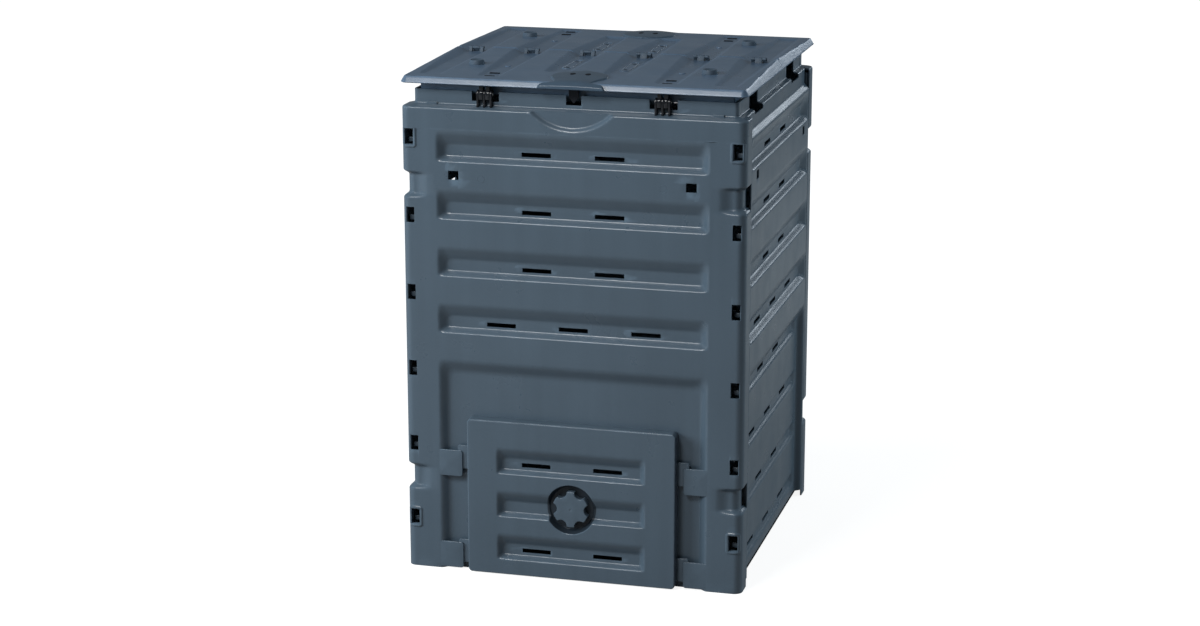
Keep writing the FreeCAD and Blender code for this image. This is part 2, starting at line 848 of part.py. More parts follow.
def claws():
    # Open claws that drop over the rods, two fingers each, on a plate with two studs
    parts = []
    for x in (-hingeX, hingeX):
        fingers = []
        for offset in (-ribSpacing / 2, ribSpacing / 2):
            x0 = x + offset - clawFinger / 2
            x1 = x0 + clawFinger
            ring = cylinderX(clawRadius, x0, x1, -rodY, rodZ)
            legs = box(x0, x1, -rodY - clawRadius, -rodY + clawRadius, rodZ - clawReach, rodZ)
            neck = box(x0, x1, -rodY - clawRadius, -rodY + clawRadius, rodZ,
                       clawPlateBottom + clawBase / 2)
            fingers.append(fused([ring, legs, neck]))
        y0 = -rodY - clawRadius
        y1 = studCentres()[-1] + clawStudWidth
        plate = box(x - ribSpacing - clawFinger / 2, x + ribSpacing + clawFinger / 2, y0, y1,
                    clawPlateBottom, clawPlateBottom + clawBase)
        studs = []
        for y in studCentres():
            studs.append(box(x - clawStudLength / 2, x + clawStudLength / 2,
                             y - clawStudWidth / 2, y + clawStudWidth / 2,
                             clawPlateBottom + clawBase / 2, grooveFloor))
        throat = rodRadius + 2 * runningClearance
        mouth = throat + 2 * clawFlare
        low = rodZ - 2 * clawReach
        gap = [(-rodY - throat, rodZ), (-rodY + throat, rodZ),
               (-rodY + mouth, low), (-rodY - mouth, low)]
        hollow = cylinderX(throat, x - far, x + far, -rodY, rodZ).fuse(prismX(gap, x - far, x + far))
        parts.append(fused(fingers + [plate] + studs).cut(hollow))
    return Part.Compound(parts)


def tongue():
    # Pointed tongue that hangs into the collar's centre notch
    y0 = -collarFace - tongueThickness / 2 + wall / 2
    bottom = collarTop - centreNotchDrop + tongueClear
    top = roofAt(collarFace) - wall - clawSeat
    side = tongueWidth / 2
    outline = [(-side, top), (side, top), (side, bottom + tonguePoint), (0.0, bottom),
               (-side, bottom + tonguePoint)]
    corners = [Vector(x, y0, z) for x, z in outline]
    face = Part.Face(Part.makePolygon(corners + corners[:1]))
    return face.extrude(Vector(0, tongueThickness, 0))


def buttons():
    # Round buttons with a dished top, on stems through the lid
    parts = []
    for side in (-1, 1):
        base = roofAt(buttonY - buttonRadius) + panelGap
        centre = Vector(side * buttonX, -buttonY, base)
        head = Part.makeCone(buttonRadius, buttonRadius - buttonDish, buttonHeight, centre)
        dishRadius = buttonRadius * 2
        dish = Part.makeSphere(dishRadius, centre + Vector(0, 0, buttonHeight - buttonDish + dishRadius))
        stem = cylinderZ(buttonStem, roofAt(buttonY) - 2 * wall, base + margin,
                         side * buttonX, -buttonY)
        parts.append(head.cut(dish).fuse(stem))
    return Part.Compound(parts)


def rods():
    pieces = [cylinderX(rodRadius, x - rodLength / 2, x + rodLength / 2, -rodY, rodZ)
              for x in (-hingeX, hingeX)]
    return Part.Compound(pieces)


def doorPanel():
    # Hollow tray with three louvres, a knob well and two pairs of ears
    bottom = doorBottom
    outer = (-doorHalf + doorEdge, doorHalf - doorEdge, bottom + doorEdge, doorTop - doorEdge)
    full = (-doorHalf, doorHalf, bottom, doorTop)
    front = sunkAt(outer, full, doorFront, doorFront + doorEdge)
    back = sunkAt(full, full, doorFront + doorEdge, doorBack)
    outline = roundedTray(0.0, doorFront - margin)
    inside = roundedTray(wall, doorFront + wall)
    tray = front.fuse(back).common(outline).cut(inside)
    base = doorFront + half
    body = [tray]
    cuts = []
    for row in range(doorRows):
        lip = doorRowLowest + doorPitch * (doorRows - 1 - row)
        backing, hollow = louvre(lip, doorPocketHalf, doorEndSlope, doorPocketDepth,
                                 doorPocketHeight, doorLedge, doorFloorHeight, base)
        body.append(backing)
        cuts.append(hollow)
        if row != 1:
            for x in slotCentres(0, doorRows, slotSpacing):
                cuts.append(slotCut(x, lip + doorSlotRise))
    well = Part.makeCone(knobWellRadius, knobWellRadius - knobWellSlope, knobWellDepth,
                         Vector(0, doorFront, knobZ), Vector(0, 1, 0))
    mouth = cylinderY(knobWellRadius, doorFront - margin, doorFront, 0, knobZ)
    cup = Part.makeCone(knobWellRadius + wall, knobWellRadius + wall - knobWellSlope,
                        knobWellDepth + wall - margin, Vector(0, doorFront + margin, knobZ),
                        Vector(0, 1, 0))
    shaftHole = cylinderY(shaftRadius + runningClearance, doorFront, doorBack + wall, 0, knobZ)
    panel = fused(body).cut(fused(cuts)).fuse(cup).cut(fused([well, mouth, shaftHole]))
    return panel.fuse(ears())


def roundedTray(inset, y0):
    # Block of the door's outline with rounded corners, from y0 to behind the door
    block = box(-doorHalf + inset, doorHalf - inset, y0, doorBack + margin,
                doorBottom + inset, doorTop - inset)
    corners = [edge for edge in block.Edges if abs(edge.tangentAt(0).y) > 0.9]
    return block.makeFillet(doorCorner - inset, corners)


def sunkAt(near, away, y0, y1):
    # Loft between two (x0, x1, z0, z1) rectangles at two places along Y
    wires = []
    for rectangle, y in ((near, y0), (away, y1)):
        x0, x1, z0, z1 = rectangle
        loop = [Vector(x0, y, z0), Vector(x1, y, z0), Vector(x1, y, z1), Vector(x0, y, z1)]
        wires.append(Part.makePolygon(loop + loop[:1]))
    return Part.makeLoft(wires, True, True)


def ears():
    shapes = []
    tabBack = -half + wall + earClearance
    for start in earStarts:
        for side in (-1, 1):
            x0, x1 = sorted((side * (doorHalf - wall / 2), side * (tabInner + earOverlap)))
            shapes.append(box(x0, x1, tabBack, tabBack + wall, start, start + earHeight))
    return shapes


def knob():
    # Scalloped knob with its shaft through the door
    y0 = wellFloor - knobSeat - knobHeight
    head = cylinderY(knobRadius, y0, y0 + knobHeight, 0, knobZ)
    cuts = []
    for step in range(scallops):
        angle = 2 * math.pi * step / scallops
        x = scallopCentre * math.cos(angle)
        z = knobZ + scallopCentre * math.sin(angle)
        cuts.append(cylinderY(scallopRadius, y0 - margin, y0 + knobHeight + margin, x, z))
    head = head.cut(fused(cuts))
    shaft = cylinderY(shaftRadius, y0 + knobHeight - margin, latchFront, 0, knobZ)
    pilot = cylinderY(screwRadius, screwEnd, latchFront + margin, 0, knobZ)
    return head.fuse(shaft).cut(pilot)


def latchArm():
    # One-armed latch behind the wall, straight up when the door is locked
    back = latchFront + latchThickness
    hub = cylinderY(latchHub, latchFront, back, 0, knobZ)
    tipZ = knobZ + latchLength - latchWidth / 2
    arm = box(-latchWidth / 2, latchWidth / 2, latchFront, back, knobZ, tipZ)
    tip = cylinderY(latchWidth / 2, latchFront, back, 0, tipZ)
    hole = cylinderY(screwRadius + runningClearance, latchFront - margin, back + margin, 0, knobZ)
    return fused([hub, arm, tip]).cut(hole)


def latchWasher():
    y0 = latchFront + latchThickness
    y1 = y0 + washerThickness
    ring = cylinderY(washerRadius, y0, y1, 0, knobZ)
    return ring.cut(cylinderY(screwRadius + runningClearance, y0 - margin, y1 + margin, 0, knobZ))


def latchScrew():
    # Pan-headed screw with a cross recess
    y0 = latchFront + latchThickness + washerThickness
    y1 = y0 + screwHeadHeight
    floor = (y0 + y1) / 2
    head = cylinderY(screwHeadRadius, y0, y1, 0, knobZ)
    shank = cylinderY(screwRadius - runningClearance, screwEnd + margin, y0 + margin, 0, knobZ)
    arm = screwHeadRadius / 2
    slot = screwRadius / 4
    level = box(-arm, arm, floor, y1 + margin, knobZ - slot, knobZ + slot)
    upright = box(-slot, slot, floor, y1 + margin, knobZ - arm, knobZ + arm)
    return head.fuse(shank).cut(level.fuse(upright))


def save(name, shape):
    shape.exportStep("parts/" + name + ".step")
    print(name, "solids", len(shape.Solids), "mm3", round(shape.Volume), "valid", shape.isValid())


frontWall = wideWall(True)
rearWall = turned(wideWall(False), 180)
sideWall = narrowWall()
lidShell = lidHalfShell()

save("front_panel", frontWall)
save("rear_panel", rearWall)
save("right_side_panel", turned(sideWall, 90))
save("left_side_panel", turned(sideWall, -90))
save("front_hinge_brackets", brackets())
save("rear_hinge_brackets", turned(brackets(), 180))
save("front_hinge_rods", rods())
save("rear_hinge_rods", turned(rods(), 180))
save("lid_front_half", lidShell)
save("lid_rear_half", turned(lidShell, 180))
save("lid_fold_pins", foldPins())
save("front_lid_claws", claws())
save("rear_lid_claws", turned(claws(), 180))
save("front_lid_tongue", tongue())
save("rear_lid_tongue", turned(tongue(), 180))
save("front_lid_buttons", buttons())
save("rear_lid_buttons", turned(buttons(), 180))
save("door", doorPanel())
save("door_knob", knob())
save("latch_arm", latchArm())
save("latch_washer", latchWasher())
save("latch_screw", latchScrew())
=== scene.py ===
import bpy
import json
import math
import numpy as np
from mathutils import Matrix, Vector


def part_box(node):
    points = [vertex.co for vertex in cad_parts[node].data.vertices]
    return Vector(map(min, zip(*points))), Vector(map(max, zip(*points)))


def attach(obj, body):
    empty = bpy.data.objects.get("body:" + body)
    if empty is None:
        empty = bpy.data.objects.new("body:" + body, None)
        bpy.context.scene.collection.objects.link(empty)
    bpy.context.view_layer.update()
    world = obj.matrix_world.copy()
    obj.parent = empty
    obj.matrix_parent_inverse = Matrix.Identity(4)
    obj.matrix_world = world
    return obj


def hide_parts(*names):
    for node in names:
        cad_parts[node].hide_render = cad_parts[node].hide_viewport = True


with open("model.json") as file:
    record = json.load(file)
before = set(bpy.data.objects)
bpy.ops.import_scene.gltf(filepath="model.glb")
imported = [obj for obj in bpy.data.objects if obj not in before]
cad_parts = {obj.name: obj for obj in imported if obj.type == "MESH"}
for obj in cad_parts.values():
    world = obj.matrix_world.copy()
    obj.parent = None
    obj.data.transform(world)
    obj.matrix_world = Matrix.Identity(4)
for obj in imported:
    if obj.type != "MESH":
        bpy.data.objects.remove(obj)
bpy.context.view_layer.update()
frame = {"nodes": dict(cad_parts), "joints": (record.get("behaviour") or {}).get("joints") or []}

# Lengths below are in millimetres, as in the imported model's drawings; meshes are made in metres
mm = 0.001


def nodeBox(node):
    low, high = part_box(node)
    return np.array(low) / mm, np.array(high) / mm


def jointPlace(name):
    for joint in frame["joints"]:
        if joint["name"] == name:
            return np.array(joint["pos_m"]) / mm


# Shared places, read from the frame
half = nodeBox("front_panel")[1][0]                  # half the bin's width
collarTop = nodeBox("front_panel")[1][2]
lidLow, lidHigh = nodeBox("lid_front_half")
doorLow, doorHigh = nodeBox("door")
foldPlace = jointPlace("lid_fold")
knobPlace = jointPlace("knob_turn")


# Surface tools

def softMax(a, b, blend):
    # The larger of two values, rounded where they cross
    near = np.maximum(blend - np.abs(a - b), 0.0) / blend
    return np.maximum(a, b) + near * near * blend / 4


def softMin(a, b, blend):
    return -softMax(-a, -b, blend)


def softStep(rise, depth, blend):
    # Held between 0 and the depth, with both bends rounded
    return softMin(softMax(rise, 0.0, blend), depth, blend)


def smooth(share):
    # Eased rise from 0 to 1 with a level start and end
    share = np.clip(share, 0.0, 1.0)
    return share * share * (3 - 2 * share)


def makeLines(start, stop, step, hard, soft, hardGap=0.5, softGap=0.55):
    # Grid lines: hard places are kept exactly, and soft ones (place, reach, gap) close up round a bend.
    # A line too near a hard one, or too near the line before it, is left out
    hard = np.array([start, stop] + [h for h in hard if start < h < stop])
    hard = np.unique(np.round(hard, 3))
    extra = [np.arange(start, stop, step)]
    extra += [np.arange(place - reach, place + reach + gap / 2, gap) for place, reach, gap in soft]
    extra = np.unique(np.concatenate(extra))
    extra = extra[(extra > start) & (extra < stop)]
    extra = extra[np.abs(extra[:, None] - hard[None, :]).min(axis=1) > hardGap]
    kept = []
    for value in extra:
        if not kept or value - kept[-1] > softGap:
            kept.append(value)
    return np.sort(np.concatenate([hard, kept]))


def mirrored(soft):
    # Soft grid lines on both sides of the middle
    return [(side * place, reach, gap) for side in (-1, 1) for place, reach, gap in soft]


def holeAt(across, up, width, height):
    # Hole as (x0, x1, z0, z1), from its middle and size
    return across - width / 2, across + width / 2, up - height / 2, up + height / 2


def holeEdges(holes):
    # Hard grid lines that the holes need, first across and then up
    return [edge for hole in holes for edge in hole[:2]], [edge for hole in holes for edge in hole[2:]]


def keepMask(columns, rows, holes):
    # Faces whose middle lies in none of the holes
    x = (columns[:-1] + columns[1:]) / 2
    z = (rows[:-1] + rows[1:]) / 2
    keep = np.ones((len(z), len(x)), bool)
    for x0, x1, z0, z1 in holes:
        keep &= ~(((x > x0) & (x < x1))[None, :] & ((z > z0) & (z < z1))[:, None])
    return keep


def roundedOutline(x, y, halfX, halfY, radius):
    # Pulls a square grid into a rounded outline: in each corner square the larger share sets the ring and the
    # ratio sets the angle
    a = np.clip((np.abs(x) - halfX + radius) / radius, 0, None)
    b = np.clip((np.abs(y) - halfY + radius) / radius, 0, None)
    big = np.maximum(np.maximum(a, b), 1e-9)
    angle = np.where(a >= b, math.pi / 4 * b / big, math.pi / 2 - math.pi / 4 * a / big)
    ring = np.minimum(big, 1.0)
    inside = (a > 0) & (b > 0)
    newX = np.sign(x) * (halfX - radius + radius * ring * np.cos(angle))
    newY = np.sign(y) * (halfY - radius + radius * ring * np.sin(angle))
    return (np.where(inside, newX, np.clip(x, -halfX, halfX)),
            np.where(inside, newY, np.clip(y, -halfY, halfY)))


def roundedPath(points, radii, steps=5):
    # Line through the points with an arc-like bend of the given radius at each inner point
    points = np.array(points, float)
    path = [points[0]]
    for index in range(1, len(points) - 1):
        corner = points[index]
        back = points[index - 1] - corner
        ahead = points[index + 1] - corner
        reach = min(radii[index], np.linalg.norm(back) / 2, np.linalg.norm(ahead) / 2)
        start = corner + back / np.linalg.norm(back) * reach
        stop = corner + ahead / np.linalg.norm(ahead) * reach
        for share in np.linspace(0, 1, steps):
            path.append((1 - share) ** 2 * start + 2 * share * (1 - share) * corner + share ** 2 * stop)
    path.append(points[-1])
    return np.array(path)


def patch(points, keep=None, closed=False, flip=False):
    # Grid of points (rows, columns, 3) as vertices and four-sided faces
    rows, columns = points.shape[:2]
    index = np.arange(rows * columns).reshape(rows, columns)
    if closed:
        index = np.concatenate([index, index[:, :1]], axis=1)
    faces = np.stack([index[:-1, :-1], index[:-1, 1:], index[1:, 1:], index[1:, :-1]], axis=-1)
    faces = faces[keep] if keep is not None else faces.reshape(-1, 4)
    if flip:
        faces = faces[:, ::-1]
    return points.reshape(-1, 3), faces


def turnedPatch(made, degrees):
    # Turned about the bin's upright axis
    points, faces = made
    c, s = math.cos(math.radians(degrees)), math.sin(math.radians(degrees))
    turn = np.array([[c, -s, 0], [s, c, 0], [0, 0, 1]])
    return points @ turn.T, faces


def meshFrom(name, patches, merge=500):
    # Points of all patches that agree to 1/merge of a millimetre are joined, and a face that has lost a
    # corner this way keeps the rest
    starts = np.cumsum([0] + [len(made[0]) for made in patches])
    points = np.concatenate([made[0] for made in patches])
    faces = np.concatenate([made[1] + start for made, start in zip(patches, starts)])
    first, joined = np.unique(np.round(points * merge).astype(np.int64), axis=0, return_index=True,
                              return_inverse=True)[1:]
    faces = joined.ravel()[faces]
    real = faces != np.roll(faces, -1, axis=1)
    sound = real.sum(axis=1) > 2
    faces, real = faces[sound], real[sound]
    used, loops = np.unique(faces[real], return_inverse=True)
    points = points[first[used]] * mm
    corners = real.sum(axis=1)
    mesh = bpy.data.meshes.new(name)
    mesh.vertices.add(len(points))
    mesh.vertices.foreach_set("co", points.astype(np.float32).ravel())
    mesh.loops.add(len(loops))
    mesh.loops.foreach_set("vertex_index", loops.astype(np.int32).ravel())
    mesh.polygons.add(len(faces))
    mesh.polygons.foreach_set("loop_start", np.concatenate([[0], np.cumsum(corners)[:-1]]).astype(np.int32))
    mesh.update(calc_edges=True)
    mesh.validate()
    return mesh


def makePiece(name, patches, material, body, slot, thickness=0.0, bevel=0.0, sharp=35.0, bevelFrom=60.0):
    # Mesh piece that rides a body; a thickness backs the skin on its inner side
    obj = bpy.data.objects.new(name, meshFrom(name, patches))
    bpy.context.scene.collection.objects.link(obj)
    obj.data.materials.append(material)
    if thickness:
        shell = obj.modifiers.new("wall", "SOLIDIFY")
        shell.thickness = thickness * mm
        shell.offset = -1.0
    if bevel:
        edge = obj.modifiers.new("rims", "BEVEL")
        edge.width = bevel * mm
        edge.segments = 2
        edge.limit_method = "ANGLE"
        edge.angle_limit = math.radians(bevelFrom)
    if thickness or bevel:
        seen = obj.evaluated_get(bpy.context.evaluated_depsgraph_get())
        obj.data = bpy.data.meshes.new_from_object(seen)
        obj.modifiers.clear()
    obj.data.shade_smooth()
    obj.data.set_sharp_from_angle(angle=math.radians(sharp))
    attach(obj, body)
    triangles = sum(len(p.vertices) - 2 for p in obj.data.polygons)
    print("made", name, "triangles", triangles)
    return obj


def roundedBlock(x0, x1, y0, y1, z0, z1, radius, steps=3):
    # Box whose faces are grids pulled in to rounded edges: inner box point plus radius along its direction.
    # The radius is kept just below half the thinnest side
    low, high = np.array([x0, y0, z0]), np.array([x1, y1, z1])
    radius = min(radius, (high - low).min() / 2.01)
    arc = np.tan(np.linspace(0, math.pi / 4, steps + 1))
    side = np.concatenate([-1 - arc[::-1], [0.0], 1 + arc])
    made = []
    for axis in range(3):
        a, b = [k for k in range(3) if k != axis]
        for sign in (-1, 1):
            u, v = np.meshgrid(side, side, indexing="ij")
            inner = np.zeros(u.shape + (3,))
            outward = np.zeros(u.shape + (3,))
            for k, w in ((a, u), (b, v)):
                centre, reach = (low[k] + high[k]) / 2, (high[k] - low[k]) / 2 - radius
                inner[..., k] = centre + reach * np.clip(w, -1, 1)
                outward[..., k] = np.sign(w) * np.maximum(np.abs(w) - 1, 0)
            inner[..., axis] = (low[axis] + high[axis]) / 2 + sign * ((high[axis] - low[axis]) / 2 - radius)
            outward[..., axis] = sign
            outward /= np.linalg.norm(outward, axis=-1, keepdims=True)
            flip = (sign > 0) != (axis == 1)
            made.append(patch(inner + radius * outward, flip=flip))
    return made


def revolved(profile, centre, axis, sides, radiusAt=None):
    # Profile of (radius, height), running up the axis, turned about it; the radius may change with angle
    profile = np.array(profile, float)
    angle = np.linspace(0, 2 * math.pi, sides, endpoint=False)
    radius = np.repeat(profile[:, :1], sides, axis=1)
    if radiusAt is not None:
        radius = radiusAt(radius, angle[None, :])
    height = np.repeat(profile[:, 1:2], sides, axis=1)
    a, b = radius * np.cos(angle), radius * np.sin(angle)
    order = {"x": (height, a, b), "y": (b, height, a), "z": (a, b, height)}[axis]
    return patch(np.stack(order, axis=-1) + np.array(centre), closed=True)


def plateY(x0, x1, z0, z1, y0, y1, radius, edge, sides=40, steps=5):
    # Plate facing -Y with rounded corners: rings of one outline that step in round the front edge. The
    # outline starts a little turned, so that no point lies between two of its corners
    turn = np.linspace(0, 2 * math.pi, sides, endpoint=False) + 0.01
    cx, cz = (x0 + x1) / 2, (z0 + z1) / 2
    rings = []
    arc = np.linspace(0, math.pi / 2, steps)
    front = [(1.0, y0 + edge - edge * math.sin(a), edge * (1 - math.cos(a))) for a in arc]
    for share, y, inset in [(0.0, y1, 0.0), (1.0, y1, 0.0)] + front + [(0.0, y0, edge)]:
        x = cx + np.sign(np.cos(turn)) * ((x1 - x0) / 2 - radius) + (radius - inset) * np.cos(turn)
        z = cz + np.sign(np.sin(turn)) * ((z1 - z0) / 2 - radius) + (radius - inset) * np.sin(turn)
        rings.append(np.column_stack([cx + (x - cx) * share, np.full_like(x, y), cz + (z - cz) * share]))
    return patch(np.array(rings), closed=True)


def faceOut(made):
    # Turns a closed patch right side out, by the sign of the volume its faces enclose
    points, faces = made
    a, b, c, d = (points[faces[:, k]] for k in range(4))
    volume = np.einsum("ij,ij->i", a, np.cross(b, c)) + np.einsum("ij,ij->i", a, np.cross(c, d))
    return (points, faces[:, ::-1]) if volume.sum() < 0 else made


def bandX(outer, inner, x0, x1):
    # Band between two (y, z) lines of equal length, carried from x0 to x1, closed half way between their ends
    outer, inner = np.array(outer, float), np.array(inner, float)
    first, last = (outer[0] + inner[0]) / 2, (outer[-1] + inner[-1]) / 2
    outer, inner = np.vstack([first, outer, last]), np.vstack([first, inner, last])
    columns = [np.column_stack([np.full(len(line), x), line])
               for line, x in ((outer, x0), (outer, x1), (inner, x1), (inner, x0))]
    return faceOut(patch(np.stack(columns, axis=1), closed=True))


def prismX(outline, x0, x1):
    # Closed (y, z) outline, counted round, carried from x0 to x1 with both ends shut
    outline = np.array(outline, float)
    middle = outline.mean(axis=0)
    rows = []
    for x, share in ((x0, 0.0), (x0, 1.0), (x1, 1.0), (x1, 0.0)):
        ring = middle + (outline - middle) * share
        rows.append(np.column_stack([np.full(len(ring), x), ring]))
    return patch(np.array(rows), closed=True)


# Materials: node groups for the moulded colour and its fine surface

def newGroup(name, inputs, outputs):
    # Node group with sockets given as (title, kind, value) and (title, kind)
    group = bpy.data.node_groups.new(name, "ShaderNodeTree")
    for title, kind, value in inputs:
        socket = group.interface.new_socket(title, in_out="INPUT", socket_type=kind)
        if value is not None:
            socket.default_value = value
    for title, kind in outputs:
        group.interface.new_socket(title, in_out="OUTPUT", socket_type=kind)
    return group, group.nodes.new("NodeGroupInput"), group.nodes.new("NodeGroupOutput")


def addNode(tree, kind, links=None, **values):
    # New node; links maps an input's name or number to a socket or a plain value
    node = tree.nodes.new(kind)
    for key, value in values.items():
        setattr(node, key, value)
    for key, value in (links or {}).items():
        if isinstance(value, bpy.types.NodeSocket):
            tree.links.new(value, node.inputs[key])
        else:
            node.inputs[key].default_value = value
    return node


def mathNode(tree, operation, *values):
    return addNode(tree, "ShaderNodeMath", dict(enumerate(values)), operation=operation).outputs[0]


def noiseNode(tree, place, scale, detail):
    noise = addNode(tree, "ShaderNodeTexNoise", {"Vector": place, "Scale": scale, "Detail": detail})
    return noise.outputs["Fac"]


def swingNode(tree, noise, amount):
    # Noise moved to lie about zero, times the amount
    return mathNode(tree, "MULTIPLY", mathNode(tree, "SUBTRACT", noise, 0.5), amount)


def rangeNode(tree, value, source, target=(0.0, 1.0)):
    return addNode(tree, "ShaderNodeMapRange", {"Value": value, "From Min": source[0], "From Max": source[1],
                                                "To Min": target[0], "To Max": target[1]}).outputs[0]


mouldLook = {
    "clouds": (4.0, 4.0), "streaks": (1.0, 3.0), "streakScale": (45.0, 45.0, 1.2), "specks": (260.0, 2.0),
    "speckAmount": 0.12, "scuffs": (35.0, 5.0), "wearAndSheenBulge": (0.505, 0.56), "scuffLevel": (0.4, 0.62),
    "grain": (700.0, 3.0), "grainHeight": 0.0004, "waves": (9.0, 2.0), "waveHeight": 0.004,
    "smears": (14.0, 5.0), "smearAmount": 0.22,
}


def mouldedColourGroup():
    # Base colour times cloudy mottling and upright flow streaks, paler on bulging edges in noisy patches:
    # partly wear, partly a painted highlight
    look = mouldLook
    group, given, made = newGroup("moulded colour", [
        ("Position", "NodeSocketVector", None), ("Base", "NodeSocketColor", (0.06, 0.08, 0.1, 1)),
        ("Mottle", "NodeSocketFloat", 0.1), ("Streaks", "NodeSocketFloat", 0.1),
        ("EdgeWearAndSheen", "NodeSocketFloat", 0.2)], [("Colour", "NodeSocketColor")])
    place = given.outputs["Position"]
    upright = addNode(group, "ShaderNodeMapping", {"Vector": place, "Scale": look["streakScale"]}).outputs[0]
    bulge = addNode(group, "ShaderNodeNewGeometry").outputs["Pointiness"]
    scuffs = rangeNode(group, noiseNode(group, place, *look["scuffs"]), look["scuffLevel"])
    # Partly painted highlight: bulging edges are paled in noisy patches, which stands for wear and for the
    # edges' sheen
    wornAndSheen = mathNode(group, "MULTIPLY", rangeNode(group, bulge, look["wearAndSheenBulge"]), scuffs)
    level = swingNode(group, noiseNode(group, place, *look["clouds"]), given.outputs["Mottle"])
    for part in (swingNode(group, noiseNode(group, upright, *look["streaks"]), given.outputs["Streaks"]),
                 swingNode(group, noiseNode(group, place, *look["specks"]), look["speckAmount"]),
                 mathNode(group, "MULTIPLY", wornAndSheen, given.outputs["EdgeWearAndSheen"]), 1.0):
        level = mathNode(group, "ADD", level, part)
    scaled = addNode(group, "ShaderNodeVectorMath", {0: given.outputs["Base"], "Scale": level},
                     operation="SCALE")
    group.links.new(scaled.outputs[0], made.inputs["Colour"])
    return group


def mouldedSurfaceGroup():
    # Fine eroded grain with wider, lower waves, as a bump; smears change the gloss
    look = mouldLook
    group, given, made = newGroup("moulded surface", [
        ("Position", "NodeSocketVector", None), ("Grain", "NodeSocketFloat", 0.3),
        ("Waves", "NodeSocketFloat", 0.3), ("Gloss", "NodeSocketFloat", 0.45)],
        [("Normal", "NodeSocketVector"), ("Roughness", "NodeSocketFloat")])
    place = given.outputs["Position"]
    wide = addNode(group, "ShaderNodeBump", {
        "Strength": given.outputs["Waves"], "Distance": look["waveHeight"],
        "Height": noiseNode(group, place, *look["waves"])})
    close = addNode(group, "ShaderNodeBump", {
        "Strength": given.outputs["Grain"], "Distance": look["grainHeight"],
        "Height": noiseNode(group, place, *look["grain"]), "Normal": wide.outputs[0]})
    change = swingNode(group, noiseNode(group, place, *look["smears"]), look["smearAmount"])
    group.links.new(close.outputs[0], made.inputs["Normal"])
    group.links.new(mathNode(group, "ADD", given.outputs["Gloss"], change), made.inputs["Roughness"])
    return group


colourGroup = mouldedColourGroup()
surfaceGroup = mouldedSurfaceGroup()


# The wear amount pales bulging edges: partly real wear, partly a painted highlight
def mouldedPlastic(name, base, gloss=0.31, specular=0.5, mottle=0.25, streaks=0.2, edgeWearAndSheen=0.5, grain=0.16,
                   waves=0.08):
    material = bpy.data.materials.new(name)
    material.use_nodes = True
    tree = material.node_tree
    shader = tree.nodes["Principled BSDF"]
    place = addNode(tree, "ShaderNodeTexCoord").outputs["Object"]
    colour = addNode(tree, "ShaderNodeGroup", {}, node_tree=colourGroup)
    surface = addNode(tree, "ShaderNodeGroup", {}, node_tree=surfaceGroup)
    for node, values in ((colour, {"Base": (*base, 1), "Mottle": mottle, "Streaks": streaks, "EdgeWearAndSheen": edgeWearAndSheen}),
                         (surface, {"Grain": grain, "Waves": waves, "Gloss": gloss})):
        tree.links.new(place, node.inputs["Position"])
        for key, value in values.items():
            node.inputs[key].default_value = value
    shader.inputs["Specular IOR Level"].default_value = specular
    tree.links.new(colour.outputs["Colour"], shader.inputs["Base Color"])
    for title in ("Normal", "Roughness"):
        tree.links.new(surface.outputs[title], shader.inputs[title])
    return material


slate = (0.046, 0.068, 0.091)
wallPlastic = mouldedPlastic("wallPlastic", slate)
lidPlastic = mouldedPlastic("lidPlastic", (0.053, 0.084, 0.127), specular=0.38, grain=0.2)
doorPlastic = mouldedPlastic("doorPlastic", slate)
knobPlastic = mouldedPlastic("knobPlastic", slate)
# Near-black copy of the slate plastic for the knob's well: painted shade
wellPaintedShade = mouldedPlastic("wellPaintedShade", (0.012, 0.018, 0.025), gloss=0.45, specular=0.35)
gripPlastic = mouldedPlastic("gripPlastic", (0.034, 0.055, 0.08), gloss=0.34, specular=0.3, edgeWearAndSheen=0.1,
                             grain=0.1)
# Near-black plastic of the hinges, tongue and latch arm; also the painted shade of holes, drawn as dark discs
blackPlasticAndHoleShade = mouldedPlastic("blackPlasticAndHoleShade", (0.005, 0.006, 0.008), gloss=0.6, specular=0.15)
hingePlastic = mouldedPlastic("hingePlastic", (0.006, 0.007, 0.009), gloss=0.22, specular=0.4, grain=0.1)
rodPlastic = mouldedPlastic("rodPlastic", (0.05, 0.055, 0.06), gloss=0.25, grain=0.1)
pinPlastic = mouldedPlastic("pinPlastic", (0.036, 0.054, 0.076), gloss=0.55, specular=0.3, edgeWearAndSheen=0.0)
screwSteel = mouldedPlastic("screwSteel", (0.55, 0.56, 0.57), gloss=0.3, grain=0.1)
screwSteel.node_tree.nodes["Principled BSDF"].inputs["Metallic"].default_value = 1.0


# How far the grid lines close up round each kind of bend, and their gap there
closeLook = {
    "lip": (3.0, 1.6), "floor": (5.0, 2.2), "upper": (6.0, 2.6), "recess": (18.0, 2.0), "rim": (3.6, 1.1),
    "pinch": (6.0, 1.6), "window": (16.0, 1.6), "band": (10.0, 1.5), "skirt": (9.0, 1.5),
    "groove": (12.0, 2.2), "grooveEnd": (9.0, 2.0), "innerEnd": (10.0, 2.2), "seam": (6.0, 1.2),
    "doorEdge": (4.0, 1.0), "pocketEnd": (9.0, 1.5),
}


# Walls

